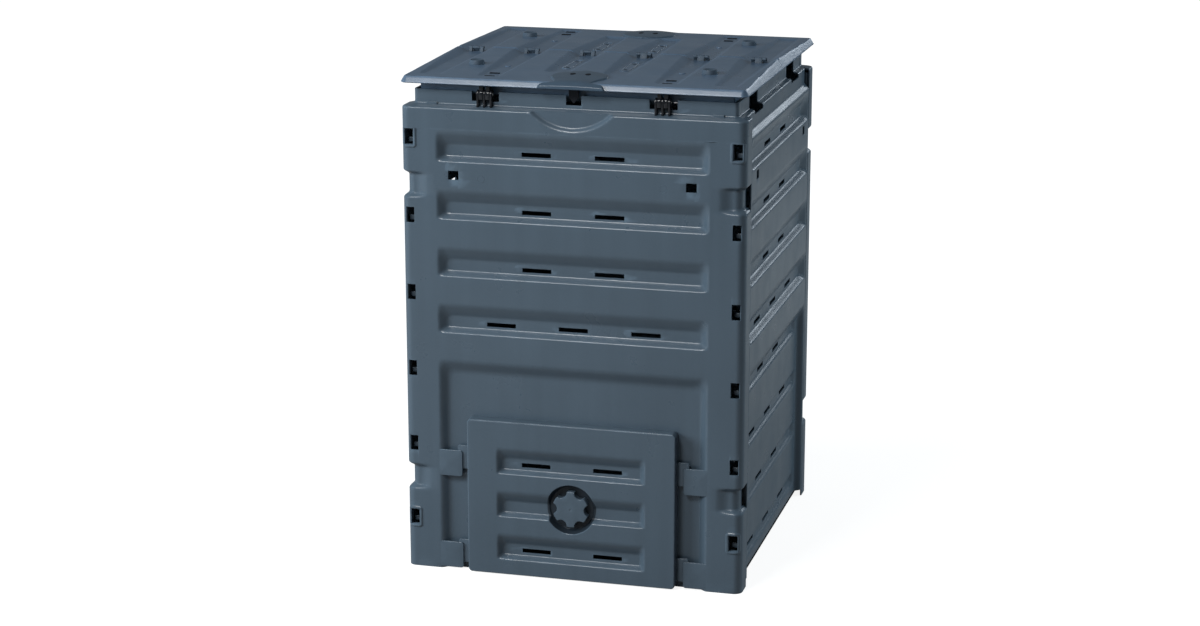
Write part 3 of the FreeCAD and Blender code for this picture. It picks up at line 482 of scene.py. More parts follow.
wallLook = {
    "wall": 3.0, "bevel": 1.0, "corner": 17.0, "returnDepth": 50.0, "shoulder": 958.0, "shoulderRise": 4.5,
    "setback": 22.0, "collarCorner": 8.0, "edge": 6.0, "footBend": 3.0, "pathStart": 8.0, "notchFloor": 971.0,
    "hingeX": 180.0, "hingeNotch": 56.0, "centreNotch": 31.0, "doorway": (-200.0, 200.0, -1.0, 296.0),
    "grid": 16.0, "topGrid": 2.2, "topStart": 7.0, "rearGrid": 1.3, "cornerSteps": 7, "topSteps": 9,
    "rowGap": 0.6, "bendSteps": 6, "collarRows": 5,
    # Where grid lines close up across the wall, as (place, reach, gap)
    "softX": [(269.0, 11.0, 2.0), (320.0, 20.0, 5.0)], "rearSoftX": [(243.0, 9.0, 3.0)],
}
pinchLook = {"starts": (173.0, 782.0), "height": 40.0, "slope": 6.0, "depth": 9.0, "bend": 5.0,
             "reach": 60.0, "cut": 16.0, "soft": 3.5}
windowLook = {"inset": 17.0, "width": 18.0, "height": 31.5, "lowest": 106.0, "highest": 898.0, "count": 6,
              "rim": 3.2, "rimHeight": 2.2, "sleeveStart": 0.8, "sleeveEnd": 8.0, "sleeveWall": 1.5,
              "sleeveSteps": 6}
rowLook = {
    "depth": 14.0, "halfWidth": 276.0, "endSlope": 14.0, "height": 58.0, "ledge": 9.0, "floor": 23.5,
    "highest": 851.2, "lowest": 501.0, "slots": (2, 2, 2, 3), "slotRise": 18.5, "slotLength": 60.0,
    "slotHeight": 9.0, "spacing": 149.0, "bend": 3.4, "floorBend": 1.3, "cornerBend": 11.0,
}
lowRowLook = {**rowLook, "depth": 8.0, "height": 31.0, "ledge": 7.0, "floor": 16.0, "highest": 384.3,
              "lowest": 34.2, "slots": (2, 3, 2, 3), "slotRise": 15.0, "halfWidth": 250.0}
recessLook = {"depth": 14.0, "halfWidth": 276.0, "endSlope": 14.0, "top": 442.0, "topSlope": 24.0,
              "bend": 4.0, "cornerBend": 14.0}
gripLook = {"halfWidth": 85.0, "height": 36.0, "depth": 7.5, "slope": 6.0, "bend": 2.4, "shoulderBend": 2.0,
            "margin": 12.0}


def rowLips(look):
    return np.linspace(look["highest"], look["lowest"], len(look["slots"]))


def louvreLines(looks):
    # Soft grid lines along the lip, floor and upper edge of each pocket, and the holes of its slots
    soft, holes = [], []
    for look in looks:
        for lip, count in zip(rowLips(look), look["slots"]):
            margin, gap = closeLook["lip"]
            soft += [(lip + look["ledge"] / 2, look["ledge"] / 2 + margin, gap),
                     (lip + look["ledge"] + look["floor"] + 1, *closeLook["floor"]),
                     (lip + look["height"], *closeLook["upper"])]
            for x in look["spacing"] * (np.arange(count) - (count - 1) / 2):
                holes.append(holeAt(x, lip + look["slotRise"], look["slotLength"], look["slotHeight"]))
    return soft, holes


def pocketDepth(x, z, lip, look):
    # Distance rises from the lip, the upper edge and both ends, scaled to each slope and held at the depth.
    # The floor's bend is softer at the lip than at the upper slope
    depth = look["depth"]
    low = (z - lip) * depth / look["ledge"]
    high = (lip + look["height"] - z) * depth / (look["height"] - look["ledge"] - look["floor"])
    end = (look["halfWidth"] - np.abs(x)) * depth / look["endSlope"]
    rise = softMin(softMin(low, high, look["bend"]), end, look["cornerBend"])
    share = smooth((z - lip - look["ledge"]) / look["floor"])
    blend = look["bend"] + (look["floorBend"] - look["bend"]) * share
    return softMin(softMax(rise, 0.0, look["bend"]), depth, blend)


def withPockets(depth, x, z, looks):
    # Adds the pockets of all rows of these kinds to a depth
    for look in looks:
        for lip in rowLips(look):
            depth = depth + pocketDepth(x, z, lip, look)
    return depth


def recessDepth(x, z, look):
    # Low recess, open at the foot, that rises at its top and at both ends
    depth = look["depth"]
    high = (look["top"] - z) * depth / look["topSlope"]
    end = (look["halfWidth"] - np.abs(x)) * depth / look["endSlope"]
    return softStep(softMin(high, end, look["cornerBend"]), depth, look["bend"])


def gripDepth(x, z, look, shoulder):
    # Half-moon: the part of a circle that lies below the shoulder
    radius = (look["halfWidth"] ** 2 + look["height"] ** 2) / (2 * look["height"])
    centre = shoulder - look["height"] + radius
    away = radius - np.hypot(x, z - centre)
    return softStep(away * look["depth"] / look["slope"], look["depth"], look["bend"])


def windowPlaces(look):
    # Heights of the middles of a corner's windows
    return np.linspace(look["lowest"], look["highest"], look["count"])


def rimHeight(x, z, look):
    # Half-round bead round the top and bottom windows, by the distance from the window's outline
    total = 0.0
    for place in windowPlaces(look)[[0, -1]]:
        across = np.abs(np.abs(x) - (half - look["inset"])) - look["width"] / 2
        along = np.abs(z - place) - look["height"] / 2
        away = np.hypot(np.clip(across, 0, None), np.clip(along, 0, None)) / look["rim"] - 1
        total = total + look["rimHeight"] * np.sqrt(np.clip(1 - away ** 2, 0, None))
    return total


def pinchShare(z, look):
    # How far both corner pinches go in at this height
    total = 0.0
    for start in look["starts"]:
        rise = np.minimum(z - start + look["slope"], start + look["height"] + look["slope"] - z)
        total = total + softStep(rise * look["depth"] / look["slope"], look["depth"], look["bend"])
    return total


def wideWallPoints(s, inset, z, depth):
    # Square section with rounded corners, s measured round it at zero inset; depth goes in along the normal
    look = wallLook
    corner = look["corner"] + (look["collarCorner"] - look["corner"]) * inset / look["setback"]
    flat = half - inset - corner
    straight = half - look["corner"]
    bend = look["corner"] * math.pi / 2
    run = straight - half + look["returnDepth"]
    a = np.abs(s)
    angle = np.clip((a - straight) / bend, 0, 1) * math.pi / 2
    past = np.clip((a - straight - bend) / run, 0, 1)
    face = a <= straight
    x = np.where(face, a * flat / straight, flat + corner * np.sin(angle))
    y = np.where(face, -(half - inset), -flat - corner * np.cos(angle))
    y = y + past * (flat - half + look["returnDepth"])
    x = x - depth * np.sin(angle)
    y = y + depth * np.cos(angle)
    near = smooth((a - half + pinchLook["reach"]) / (pinchLook["reach"] - look["corner"]))
    squeeze = pinchShare(z, pinchLook) * near
    return np.stack(np.broadcast_arrays(np.sign(s) * (x - squeeze), y + squeeze * (1 - past), z), axis=-1)


squareLook = {"x": 241.5, "width": 21.5, "height": 18.0, "wideZ": 824.0, "sideZ": 836.0}


def squareHoles(z):
    look = squareLook
    return [holeAt(side * look["x"], z, look["width"], look["height"]) for side in (-1, 1)]


def topPath(look):
    # Shoulder and collar as (inset, height)
    foot = look["shoulder"] + look["shoulderRise"]
    path = roundedPath([(0, look["shoulder"] - look["pathStart"]), (0, look["shoulder"]),
                        (look["setback"], foot), (look["setback"], look["notchFloor"])],
                       [0, look["edge"], look["footBend"], 0], look["bendSteps"])
    above = [(look["setback"], z) for z in np.linspace(look["notchFloor"], collarTop, look["collarRows"])[1:]]
    return np.concatenate([path, above])


def wideWall(isDoorWall):
    # Front or rear wall, drawn facing -Y, with its returns; s runs round the section
    look = wallLook
    straight = half - look["corner"]
    bend = look["corner"] * math.pi / 2
    end = straight + bend + straight - half + look["returnDepth"]
    cut = end - pinchLook["cut"]
    rowLooks = [rowLook] if isDoorWall else [rowLook, lowRowLook]
    soft, holes = louvreLines(rowLooks)
    # Windows reach from the flat face into the round corner, where s follows the arc
    inner = half - windowLook["inset"] - windowLook["width"] / 2
    outer = straight + look["corner"] * math.asin((inner + windowLook["width"] - straight) / look["corner"])
    for place in windowPlaces(windowLook):
        for side in (-1, 1):
            s0, s1 = sorted((side * inner, side * outer))
            holes.append((s0, s1, place - windowLook["height"] / 2, place + windowLook["height"] / 2))
    holes += squareHoles(squareLook["wideZ"])
    soft += [(recessLook["top"] - recessLook["topSlope"] / 2, *closeLook["recess"])]
    for place in windowPlaces(windowLook)[[0, -1]]:
        rimReach = windowLook["height"] / 2 + windowLook["rim"]
        soft += [(place + side * rimReach, *closeLook["rim"]) for side in (-1, 1)]
    for start in pinchLook["starts"]:
        stop = start + pinchLook["height"]
        margin = pinchLook["soft"]
        soft += [(place, *closeLook["pinch"]) for place in (start - margin, stop + margin)]
        holes += [(cut, end + 1, start, stop), (-end - 1, -cut, start, stop)]
    softX = look["softX"] + [(straight + bend / 2, bend / 2, bend / look["cornerSteps"]),
                             (half - windowLook["inset"], *closeLook["window"])]
    if isDoorWall:
        holes.append(look["doorway"])
    else:
        softX = softX + look["rearSoftX"]
        soft = [(place, reach, look["rearGrid"] * gap) for place, reach, gap in soft]
    edges, levels = holeEdges(holes)
    turns = [-straight, straight, -straight - bend, straight + bend]
    split = look["shoulder"] - gripLook["height"] - look["topStart"]
    columns = makeLines(-end, end, look["grid"], edges + turns, mirrored(softX))
    rows = makeLines(0.0, split, look["grid"], levels, soft)
    s, z = np.meshgrid(columns, rows)
    depth = withPockets(recessDepth(s, z, recessLook) - rimHeight(s, z, windowLook), s, z, rowLooks)
    lower = patch(wideWallPoints(s, np.zeros_like(s), z, depth), keepMask(columns, rows, holes))
    return [lower, wideTop(split, end, turns, bend)]


def wideTop(split, end, turns, bend):
    # Upper strip with the half-moon grip, shoulder and notched collar
    look = wallLook
    straight = half - look["corner"]
    path = topPath(look)
    wallRows = makeLines(split, path[0, 1] - look["rowGap"], look["topGrid"], [], [])
    inset = np.concatenate([np.zeros(len(wallRows)), path[:, 0]])
    height = np.concatenate([wallRows, path[:, 1]])
    grow = straight / (half - look["setback"] - look["collarCorner"])
    notches = [(x * grow - w * grow / 2, x * grow + w * grow / 2, look["notchFloor"], collarTop + 1)
               for x, w in ((-look["hingeX"], look["hingeNotch"]), (look["hingeX"], look["hingeNotch"]),
                            (0.0, look["centreNotch"]))]
    soft = mirrored([(straight + bend / 2, bend / 2, bend / look["topSteps"])])
    soft.append((0, gripLook["halfWidth"] + gripLook["margin"], look["topGrid"]))
    columns = makeLines(-end, end, look["grid"], holeEdges(notches)[0] + turns, soft)
    s, z = np.meshgrid(columns, height)
    inset2 = np.repeat(inset[:, None], len(columns), axis=1)
    grip = gripDepth(s, z, gripLook, look["shoulder"])
    extra = softMax(inset2, grip, gripLook["shoulderBend"]) - inset2
    extra = np.where(grip > 0, extra, 0.0)
    return patch(wideWallPoints(s, inset2, z, extra), keepMask(columns, height, notches))


sideLook = {
    "bottom": 16.0, "gap": 0.3, "stripDepth": 10.0, "bandTop": 927.5, "bandHeight": 11.0, "bandBend": 3.0,
    "backDepth": 3.6, "edge": 1.2, "notchX": 188.0, "notchWidth": 80.0, "notchDrop": 7.0, "hookDrop": 10.0,
    "hookHeight": 10.0, "hookWidth": 14.0, "hookUnder": 18.0, "hookRoot": 6.0, "hookEdge": 1.5,
    "softX": [(284.0, 15.0, 2.0), (256.0, 10.0, 2.5)], "lip": 6.0, "bends": [0, 0.01, 4.0, 3.0, 0.1, 0],
    # Lines of the edge strip, as shares of its way out behind the return
    "stripShares": (0.0, 0.0, 0.1, 0.6, 1.0),
}
sideRowLook = {**rowLook, "halfWidth": 296.0, "endSlope": 24.0, "spacing": 160.0}
sideLowLook = {**lowRowLook, "halfWidth": 268.0, "spacing": 160.0}
sideRecessLook = {**recessLook, "halfWidth": 290.0, "endSlope": 12.0}


def sideWall():
    # Side wall drawn facing -Y: flush face, set-back top strip, edges that go in behind the returns
    look = wallLook
    reach = half - look["returnDepth"] - sideLook["gap"]
    outer = half - look["corner"]
    top = look["shoulder"] - look["pathStart"]
    notchFoot = look["shoulder"] - sideLook["notchDrop"]
    rowLooks = [sideRowLook, sideLowLook]
    soft, holes = louvreLines(rowLooks)
    soft += [(sideRecessLook["top"] - sideRecessLook["topSlope"] / 2, *closeLook["recess"]),
             (sideLook["bandTop"] - sideLook["bandHeight"] / 2, *closeLook["band"])]
    holes += squareHoles(squareLook["sideZ"])
    for side in (-1, 1):
        x0, x1 = holeAt(side * sideLook["notchX"], 0, sideLook["notchWidth"], 0)[:2]
        holes.append((x0, x1, notchFoot, collarTop + 1))
    edges, levels = holeEdges(holes)
    clear = pinchLook["slope"] + sideLook["gap"]
    gaps = [(start - clear, start + pinchLook["height"] + clear) for start in pinchLook["starts"]]
    levels += [level for gap in gaps for level in gap]
    rows = makeLines(sideLook["bottom"], top, look["grid"], levels, soft)
    columns = makeLines(-reach, reach, look["grid"], edges, mirrored(sideLook["softX"]))
    strip = look["setback"] - sideLook["stripDepth"]
    foot = look["shoulder"] + look["shoulderRise"] * sideLook["stripDepth"] / look["setback"]
    path = roundedPath([(0, top), (0, notchFoot), (0, foot), (strip, look["shoulder"] + look["shoulderRise"]),
                        (strip, collarTop - sideLook["lip"]), (strip, collarTop)], sideLook["bends"],
                       look["bendSteps"])
    inset = np.concatenate([np.zeros(len(rows)), path[1:, 0]])
    height = np.concatenate([rows, path[1:, 1]])
    x, z = np.meshgrid(columns, height)
    bandFoot = sideLook["bandTop"] - sideLook["bandHeight"]
    band = softStep((z - bandFoot) * sideLook["stripDepth"] / sideLook["bandHeight"], sideLook["stripDepth"],
                    sideLook["bandBend"])
    depth = withPockets(band + inset[:, None] + recessDepth(x, z, sideRecessLook), x, z, rowLooks)
    edge = sideLook["edge"] - softStep(reach - np.abs(x), sideLook["edge"], 1.0)
    made = [patch(np.stack([x, -half + depth + edge, z], axis=-1), keepMask(columns, height, holes))]
    for side in (-1, 1):
        made.append(sideStrip(side, rows, depth[:len(rows), -1] + sideLook["edge"], reach, outer, gaps))
        made += sideHooks(side, outer)
    return made


def sideStrip(side, rows, depth, reach, outer, gaps):
    # Edge that turns in at the joint and runs outward behind the return; past its first column it is left
    # open at the pinches
    back, shares = sideLook["backDepth"], sideLook["stripShares"]
    columns = np.arange(len(shares))
    x = side * np.stack([np.full_like(rows, reach + (outer - reach) * share) for share in shares], axis=1)
    d = np.stack([depth, (depth + back) / 2] + [np.full_like(rows, back)] * 3, axis=1)
    z = np.repeat(rows[:, None], len(columns), axis=1)
    keep = keepMask(columns, rows, [(1, len(shares), low, high) for low, high in gaps])
    return patch(np.stack([x, -half + d, z], axis=-1), keep, flip=side < 0)


def sideHooks(side, outer):
    # Small hooks that show in the corner's windows
    look = sideLook
    front = -half + windowLook["inset"] - look["hookWidth"] / 2
    x0, x1 = sorted((side * (outer - look["hookRoot"]), side * (half - look["hookUnder"])))
    made = []
    for place in windowPlaces(windowLook):
        top = place + windowLook["height"] / 2 - look["hookDrop"] - look["hookHeight"]
        made += roundedBlock(x0, x1, front, front + look["hookWidth"], top - look["hookHeight"], top,
                             look["hookEdge"])
    return made


def turnedAll(patches, degrees):
    return [turnedPatch(made, degrees) for made in patches]


tabLook = {"inner": 230.5, "outer": 284.0, "sink": 0.06, "height": 55.0, "starts": (3.0, 199.5),
           "corner": 6.0, "edge": 1.2}


def doorTabs():
    # Flat tabs beside the doorway that hold the door's ears
    look = tabLook
    made = []
    for start in look["starts"]:
        for side in (-1, 1):
            x0, x1 = sorted((side * look["inner"], side * look["outer"]))
            made.append(plateY(x0, x1, start, start + look["height"], -half + look["sink"],
                               -half + wallLook["wall"], look["corner"], look["edge"]))
    return made


def windowSleeves():
    # Frame walls behind the top and bottom windows, as tubes that run inward
    look = windowLook
    w, h = look["width"] / 2, look["height"] / 2
    made = []
    for place in windowPlaces(look)[[0, -1]]:
        for side in (-1, 1):
            x = side * (half - look["inset"])
            loop = np.array([(x - w, place - h), (x + w, place - h), (x + w, place + h), (x - w, place + h)])
            corners = np.concatenate([np.linspace(loop[k], loop[(k + 1) % 4], look["sleeveSteps"])[:-1]
                                      for k in range(4)])
            rows = [np.column_stack([corners[:, 0], np.full(len(corners), -half + depth), corners[:, 1]])
                    for depth in (look["sleeveStart"], look["sleeveEnd"])]
            made.append(patch(np.array(rows), closed=True))
    return made


# Number of sides of the turned pieces
turnSides = {"mark": 40, "gripHole": 28, "stud": 32, "ribHole": 20, "button": 56, "clawHole": 24, "knob": 240}

blockLook = {"x": 290.0, "width": 22.0, "depth": 4.0, "height": 4.0, "edge": 0.8, "sink": 1.0, "markX": 185.0,
             "markZ": 819.0, "markRadius": 8.0,
             # Section of the round mark, as (radius past its own, depth)
             "markRing": [(-1.2, 0.3), (-0.8, -0.35), (-0.4, -0.35), (0.0, 0.3)]}


def wallMarks():
    # Two low blocks on the shoulder at the collar's foot, and two faint round marks on the face
    look = blockLook
    foot = wallLook["shoulder"] + wallLook["shoulderRise"]
    collar = -half + wallLook["setback"]
    ring = [(look["markRadius"] + r, y) for r, y in look["markRing"]]
    made = []
    for side in (-1, 1):
        x = side * look["x"]
        made += roundedBlock(x - look["width"] / 2, x + look["width"] / 2, collar - look["depth"],
                             collar + look["sink"], foot - 2 * look["sink"], foot + look["height"],
                             look["edge"])
        made.append(revolved(ring, (side * look["markX"], -half, look["markZ"]), "y", turnSides["mark"]))
    return made


skinValues = (wallLook["wall"], wallLook["bevel"])
frontWall = makePiece("front_wall_skin", wideWall(True), wallPlastic, "bin", "wall_plastic", *skinValues)
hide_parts("front_panel")
makePiece("door_tabs", doorTabs(), wallPlastic, "bin", "wall_plastic")
rearWall = makePiece("rear_wall_skin", turnedAll(wideWall(False), 180), wallPlastic, "bin", "wall_plastic",
                     *skinValues)
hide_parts("rear_panel")
sidePatches = sideWall()
rightWall = makePiece("right_wall_skin", turnedAll(sidePatches, 90), wallPlastic, "bin", "wall_plastic",
                      *skinValues)
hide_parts("right_side_panel")
leftWall = makePiece("left_wall_skin", turnedAll(sidePatches, -90), wallPlastic, "bin", "wall_plastic",
                     *skinValues)
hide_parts("left_side_panel")
for prefix, degrees in (("front", 0), ("rear", 180)):
    makePiece(prefix + "_window_sleeves", turnedAll(windowSleeves(), degrees), wallPlastic, "bin",
              "wall_plastic", windowLook["sleeveWall"])
    makePiece(prefix + "_wall_marks", turnedAll(wallMarks(), degrees), wallPlastic, "bin", "wall_plastic")


# Lid

lidLook = {
    "wall": 3.0, "bevel": 0.5, "corner": 14.0, "skirtDrop": 12.2, "skirtBevel": 7.0, "ridgeBend": 2.0,
    "roofRise": 8.1, "seamGap": 0.3, "seamBevel": 7.0, "seamDrop": 4.0, "seamBend": 1.0, "grooveHalf": 17.0,
    "grooveRun": 2.0, "grooveDrop": 2.0, "groovePitch": 120.0, "grooveCount": 6, "grooveCorner": 2.0,
    "grooveEnd": 38.0, "innerEnd": 112.0, "bend": 1.0, "slotLength": 20.6, "slotWidth": 7.1,
    "slotPlaces": (300.0, 264.0), "grid": 12.0, "skirtSoft": 6.0, "grooveSoft": 8.0, "seamSoft": 5.0,
}
lidHalf = lidHigh[0]
skirtBottom = lidLow[2]
plateEdge = skirtBottom + lidLook["skirtDrop"]
plateHalf = lidHalf - lidLook["skirtBevel"]
ridge = plateEdge + lidLook["roofRise"]
grooveFloor = plateEdge - lidLook["grooveDrop"]
innerGrooves = (-lidLook["groovePitch"] / 2, lidLook["groovePitch"] / 2)


def roofAt(y):
    # Two even slopes that fall from the ridge over the seam to the front and rear edges
    return ridge - lidLook["roofRise"] * np.abs(y) / plateHalf


def grooveCentres():
    first = -lidLook["groovePitch"] * (lidLook["grooveCount"] - 1) / 2
    return [first + lidLook["groovePitch"] * k for k in range(lidLook["grooveCount"])]


def lidHeight(x, y, edge):
    # Roof and skirt slopes, the lower of the two, then the grooves cut into it
    look = lidLook
    top = softMin(roofAt(y), skirtBottom + edge * look["skirtDrop"] / look["skirtBevel"], look["ridgeBend"])
    for centre in grooveCentres():
        outer = abs(centre) > look["groovePitch"]
        stop = plateHalf - (look["grooveEnd"] if outer else look["innerEnd"])
        across = (np.abs(x - centre) - look["grooveHalf"]) / look["grooveRun"]
        along = (np.abs(y) - stop) / look["grooveRun"]
        cut = grooveFloor + softMax(softMax(across, along, look["grooveCorner"]), 0.0, look["bend"])
        top = softMin(top, cut, look["bend"])
    return top


def lidSkin():
    # One lid half without its back: roof, grooves, claw slots, skirt and the bevel along the seam
    look = lidLook
    holes = [holeAt(side * wallLook["hingeX"], -y, look["slotLength"], look["slotWidth"])
             for side in (-1, 1) for y in look["slotPlaces"]]
    softX = mirrored([(lidHalf - look["skirtSoft"], *closeLook["skirt"])])
    softX += [(centre + side * (look["grooveHalf"] + look["grooveSoft"]), *closeLook["groove"])
              for centre in grooveCentres() for side in (-1, 1)]
    softY = [(-lidHalf + look["skirtSoft"], *closeLook["skirt"]), (-look["seamSoft"], *closeLook["seam"]),
             (-plateHalf + look["grooveEnd"], *closeLook["grooveEnd"]),
             (-plateHalf + look["innerEnd"], *closeLook["innerEnd"])]
    edges, levels = holeEdges(holes)
    columns = makeLines(-lidHalf, lidHalf, look["grid"], edges, softX)
    rows = makeLines(-lidHalf, -look["seamGap"], look["grid"], levels, softY)
    x, y = np.meshgrid(columns, rows)
    z = lidHeight(x, y, lidHalf - np.maximum(np.abs(x), np.abs(y)))
    z = softMin(z, ridge - look["seamDrop"] * (1 + y / look["seamBevel"]), look["seamBend"])
    px, py = roundedOutline(x, y, lidHalf, lidHalf, look["corner"])
    return patch(np.stack([px, py, z], axis=-1), keepMask(columns, rows, holes))


lobeLook = {
    "radius": 58.0, "inset": 57.0, "neck": 40.0, "neckInset": 4.0, "flare": 67.0, "flareRun": 11.0,
    "proud": 5.6, "edge": 5.0, "crown": 1.6, "foot": 1.0, "lean": 0.3, "faceDrop": 4.6, "skirtRise": 3.4,
    "brow": 2.0, "wall": 1.0, "backTurn": 0.9, "backShare": 0.62, "fallShare": 0.6, "lineSteps": 14,
    "backSteps": 16, "crossSteps": 49, "edgeSteps": 7,
    # Height above the roof at these distances behind the middle of the round part
    "rises": ((58.0, 3.0), (20.0, 5.2), (-20.0, 4.6)), "bends": [0, 30.0, 18.0, 8.0, 2.5, 0],
    "holeRadius": 5.5, "holeLength": 1.7, "holeX": 15.5, "holeInset": 67.0, "holeSink": 0.12,
    # Rim of the holes' discs, as (radius past its own, height)
    "holeRim": ((0.2, -1.5), (0.0, 0.3)),
}
lobeCentre = -plateHalf + lobeLook["inset"]


def lobeHalfWidth(y):
    # Round back, then a neck, then a flare over the skirt
    look = lobeLook
    neckY = -plateHalf + look["neckInset"]
    back = np.sqrt(np.clip(look["radius"] ** 2 - (y - lobeCentre) ** 2, 0, None))
    waist = look["neck"] + (look["radius"] - look["neck"]) * smooth((y - neckY) / (lobeCentre - neckY))
    spread = look["neck"] + (look["flare"] - look["neck"]) * smooth((neckY - y) / look["flareRun"])
    return np.where(y >= lobeCentre, back, np.where(y >= neckY, waist, spread))


def lobeLine():
    # Side view of the grip as (y, z): up at the back, an even fall out over the skirt, then its front face
    look = lobeLook
    points = [(lobeCentre + behind, roofAt(lobeCentre + behind) + rise) for behind, rise in look["rises"]]
    points += [(-plateHalf + look["brow"], plateEdge + look["skirtRise"]),
               (-lidHalf - look["proud"], plateEdge - look["faceDrop"]),
               (-lidHalf - look["proud"] - look["lean"], skirtBottom + look["foot"])]
    return roundedPath(points, look["bends"], look["lineSteps"])


def lobeSkin():
    # Grip as a grid along its side view; the shares past 1 carry the rounded edge down both sides
    look = lobeLook
    path = lobeLine()
    angle = np.linspace(0.0, 1.0, look["backSteps"])[:-1] * look["backTurn"]
    start = lobeCentre + look["radius"] * look["backShare"]
    y = np.concatenate([lobeCentre + look["radius"] * np.cos(angle), path[path[:, 0] < start, 0]])
    z = np.interp(-y, -path[:, 0], path[:, 1])
    fallShare, steps = look["fallShare"], look["edgeSteps"]
    share = np.concatenate([-1 - np.linspace(fallShare, 0, steps)[:-1], np.linspace(-1, 1, look["crossSteps"]),
                            1 + np.linspace(0, fallShare, steps)[1:]])
    wide = np.clip(share, -1, 1)[None, :]
    fall = np.clip(np.abs(share) - 1, 0, None)[None, :] / fallShare
    inner = np.maximum(lobeHalfWidth(y) - look["edge"], 0.0)[:, None]
    x = wide * inner + np.sign(share)[None, :] * look["edge"] * np.sin(fall * math.pi / 2)
    drop = look["crown"] * wide ** 2 + look["edge"] * (1 - np.cos(fall * math.pi / 2))
    height = np.maximum(np.repeat(z[:, None], len(share), axis=1) - drop, skirtBottom + look["foot"])
    return patch(np.stack([x, np.repeat(y[:, None], len(share), axis=1), height], axis=-1), flip=True)


def discProfile(radius, rim):
    # Flat disc's rim, given as (radius past its own, height), closed to the middle
    return [(radius + r, h) for r, h in rim] + [(0.0, rim[-1][1])]


def lobeHoleShade():
    # Painted shade of the two oblong holes: dark discs just above the lobe's top
    look = lobeLook
    y = -plateHalf + look["holeInset"]
    line = lobeLine()
    z = np.interp(-y, -line[:, 0], line[:, 1]) - look["holeSink"]
    disc = discProfile(look["holeRadius"], look["holeRim"])

    def ovalRadius(radius, angle):
        return radius / np.hypot(np.cos(angle), np.sin(angle) / look["holeLength"])

    return [revolved(disc, (side * look["holeX"], y, z), "z", turnSides["gripHole"], ovalRadius)
            for side in (-1, 1)]


eyeLook = {"radius": 3.4, "width": 8.0, "gap": 0.8, "inner": 14.4, "web": 9.0, "webShare": 0.6, "webDrop": 2.5,
           "webEnd": 1.0, "sink": 1.0, "bevel": 0.8, "headTurn": (-70, 150, 16)}


def foldEyes():
    # Eyes on the fold: a round head with a foot that runs down to the groove's floor, single on one side
    # of the lid and in pairs on the other
    look = eyeLook
    floor = grooveFloor - look["sink"]
    turn = np.radians(np.linspace(*look["headTurn"]))
    head = np.column_stack([look["radius"] * np.cos(turn), foldPlace[2] + look["radius"] * np.sin(turn)])
    foot = [(-look["web"] * look["webShare"], foldPlace[2] - look["webDrop"]), (-look["web"], floor),
            (-look["webEnd"], floor)]
    outline = np.concatenate([head, foot])
    inner = look["inner"] / 2
    near, far = inner + look["gap"], inner + look["gap"] + look["width"]
    made = []
    for centre in grooveCentres():
        spans = [(-inner, inner)] if centre > 0 else [(-far, -near), (near, far)]
        made += [prismX(outline, centre + x0, centre + x1) for x0, x1 in spans]
    return made


ribLook = {"length": 110.0, "width": 17.0, "radius": 1.0, "place": 120.0, "holes": (-36.0, 36.0), "hole": 4.0,
           "dotRadius": 6.5, "dotHeight": 1.3, "dotY": 172.0, "dotSink": 0.3, "steps": 60, "sectionSteps": 7,
           # Rounded upper edge of the stud, as (radius past its own, distance from the top)
           "dotEdge": ((0.0, -0.6), (-0.2, -0.2), (-0.7, 0.0)),
           # Rim of the holes' discs, as (radius past its own, height)
           "holeRim": ((0.2, 0.0), (0.1, 0.15))}


def grooveRibs():
    # Oblong bead in each inner groove's floor, and a low stud in the next grooves
    look = ribLook
    turn = np.linspace(0, 2 * math.pi, look["steps"], endpoint=False)
    outX, outY = np.cos(turn), np.sin(turn)
    pathX = look["width"] / 2 * outX
    pathY = look["width"] / 2 * outY + (look["length"] - look["width"]) / 2 * np.sign(np.sin(turn + 1e-6))
    section = np.linspace(0, math.pi, look["sectionSteps"])
    side = look["radius"] * np.cos(section)[:, None]
    r, h = look["dotRadius"], look["dotHeight"]
    stud = [(r, -look["dotSink"])] + [(r + past, h + rise) for past, rise in look["dotEdge"]]
    stud += [(r / 2, h), (0.0, h)]
    made = []
    for centre in innerGrooves:
        x = centre + pathX[None, :] + outX[None, :] * side
        y = -look["place"] + pathY[None, :] + outY[None, :] * side
        z = grooveFloor + look["radius"] * np.sin(section)[:, None] * np.ones_like(x)
        made.append(patch(np.stack([x, y, z], axis=-1), closed=True))
        made.append(revolved(stud, (3 * centre, -look["dotY"], grooveFloor), "z", turnSides["stud"]))
    return made


def ribHoleShade():
    # Painted shade of the holes at both ends of the beads, as dark discs
    disc = discProfile(ribLook["hole"], ribLook["holeRim"])
    return [revolved(disc, (centre, -ribLook["place"] + place, grooveFloor), "z", turnSides["ribHole"])
            for centre in innerGrooves for place in ribLook["holes"]]


buttonLook = {"radius": 16.0, "height": 8.0, "dish": 2.6, "lift": 0.3, "x": 240.0, "y": 190.0,
              "side": (-1.5, 0.6), "bend": 1.0, "bendSteps": 4, "flat": 6.0, "flatRise": 0.3,
              # Rim and dish as (radius, distance from the top)
              "rim": [(14.8, -2.0), (14.2, -0.6), (13.2, 0.0), (12.0, -0.1), (10.0, -1.1)]}


def lidButtons():
    # Turned profile, from the foot up: slightly tapered side, rounded rim, dished top
    look = buttonLook
    base = roofAt(look["y"] - look["radius"]) + look["lift"]
    dish = look["height"] - look["dish"]
    profile = [(look["radius"], z) for z in look["side"]]
    profile += [(r, look["height"] + z) for r, z in look["rim"]]
    profile += [(look["flat"], dish + look["flatRise"]), (0.0, dish)]
    smoothProfile = roundedPath(profile, [look["bend"]] * len(profile), look["bendSteps"])
    return [revolved(smoothProfile, (side * look["x"], -look["y"], base), "z", turnSides["button"])
            for side in (-1, 1)]


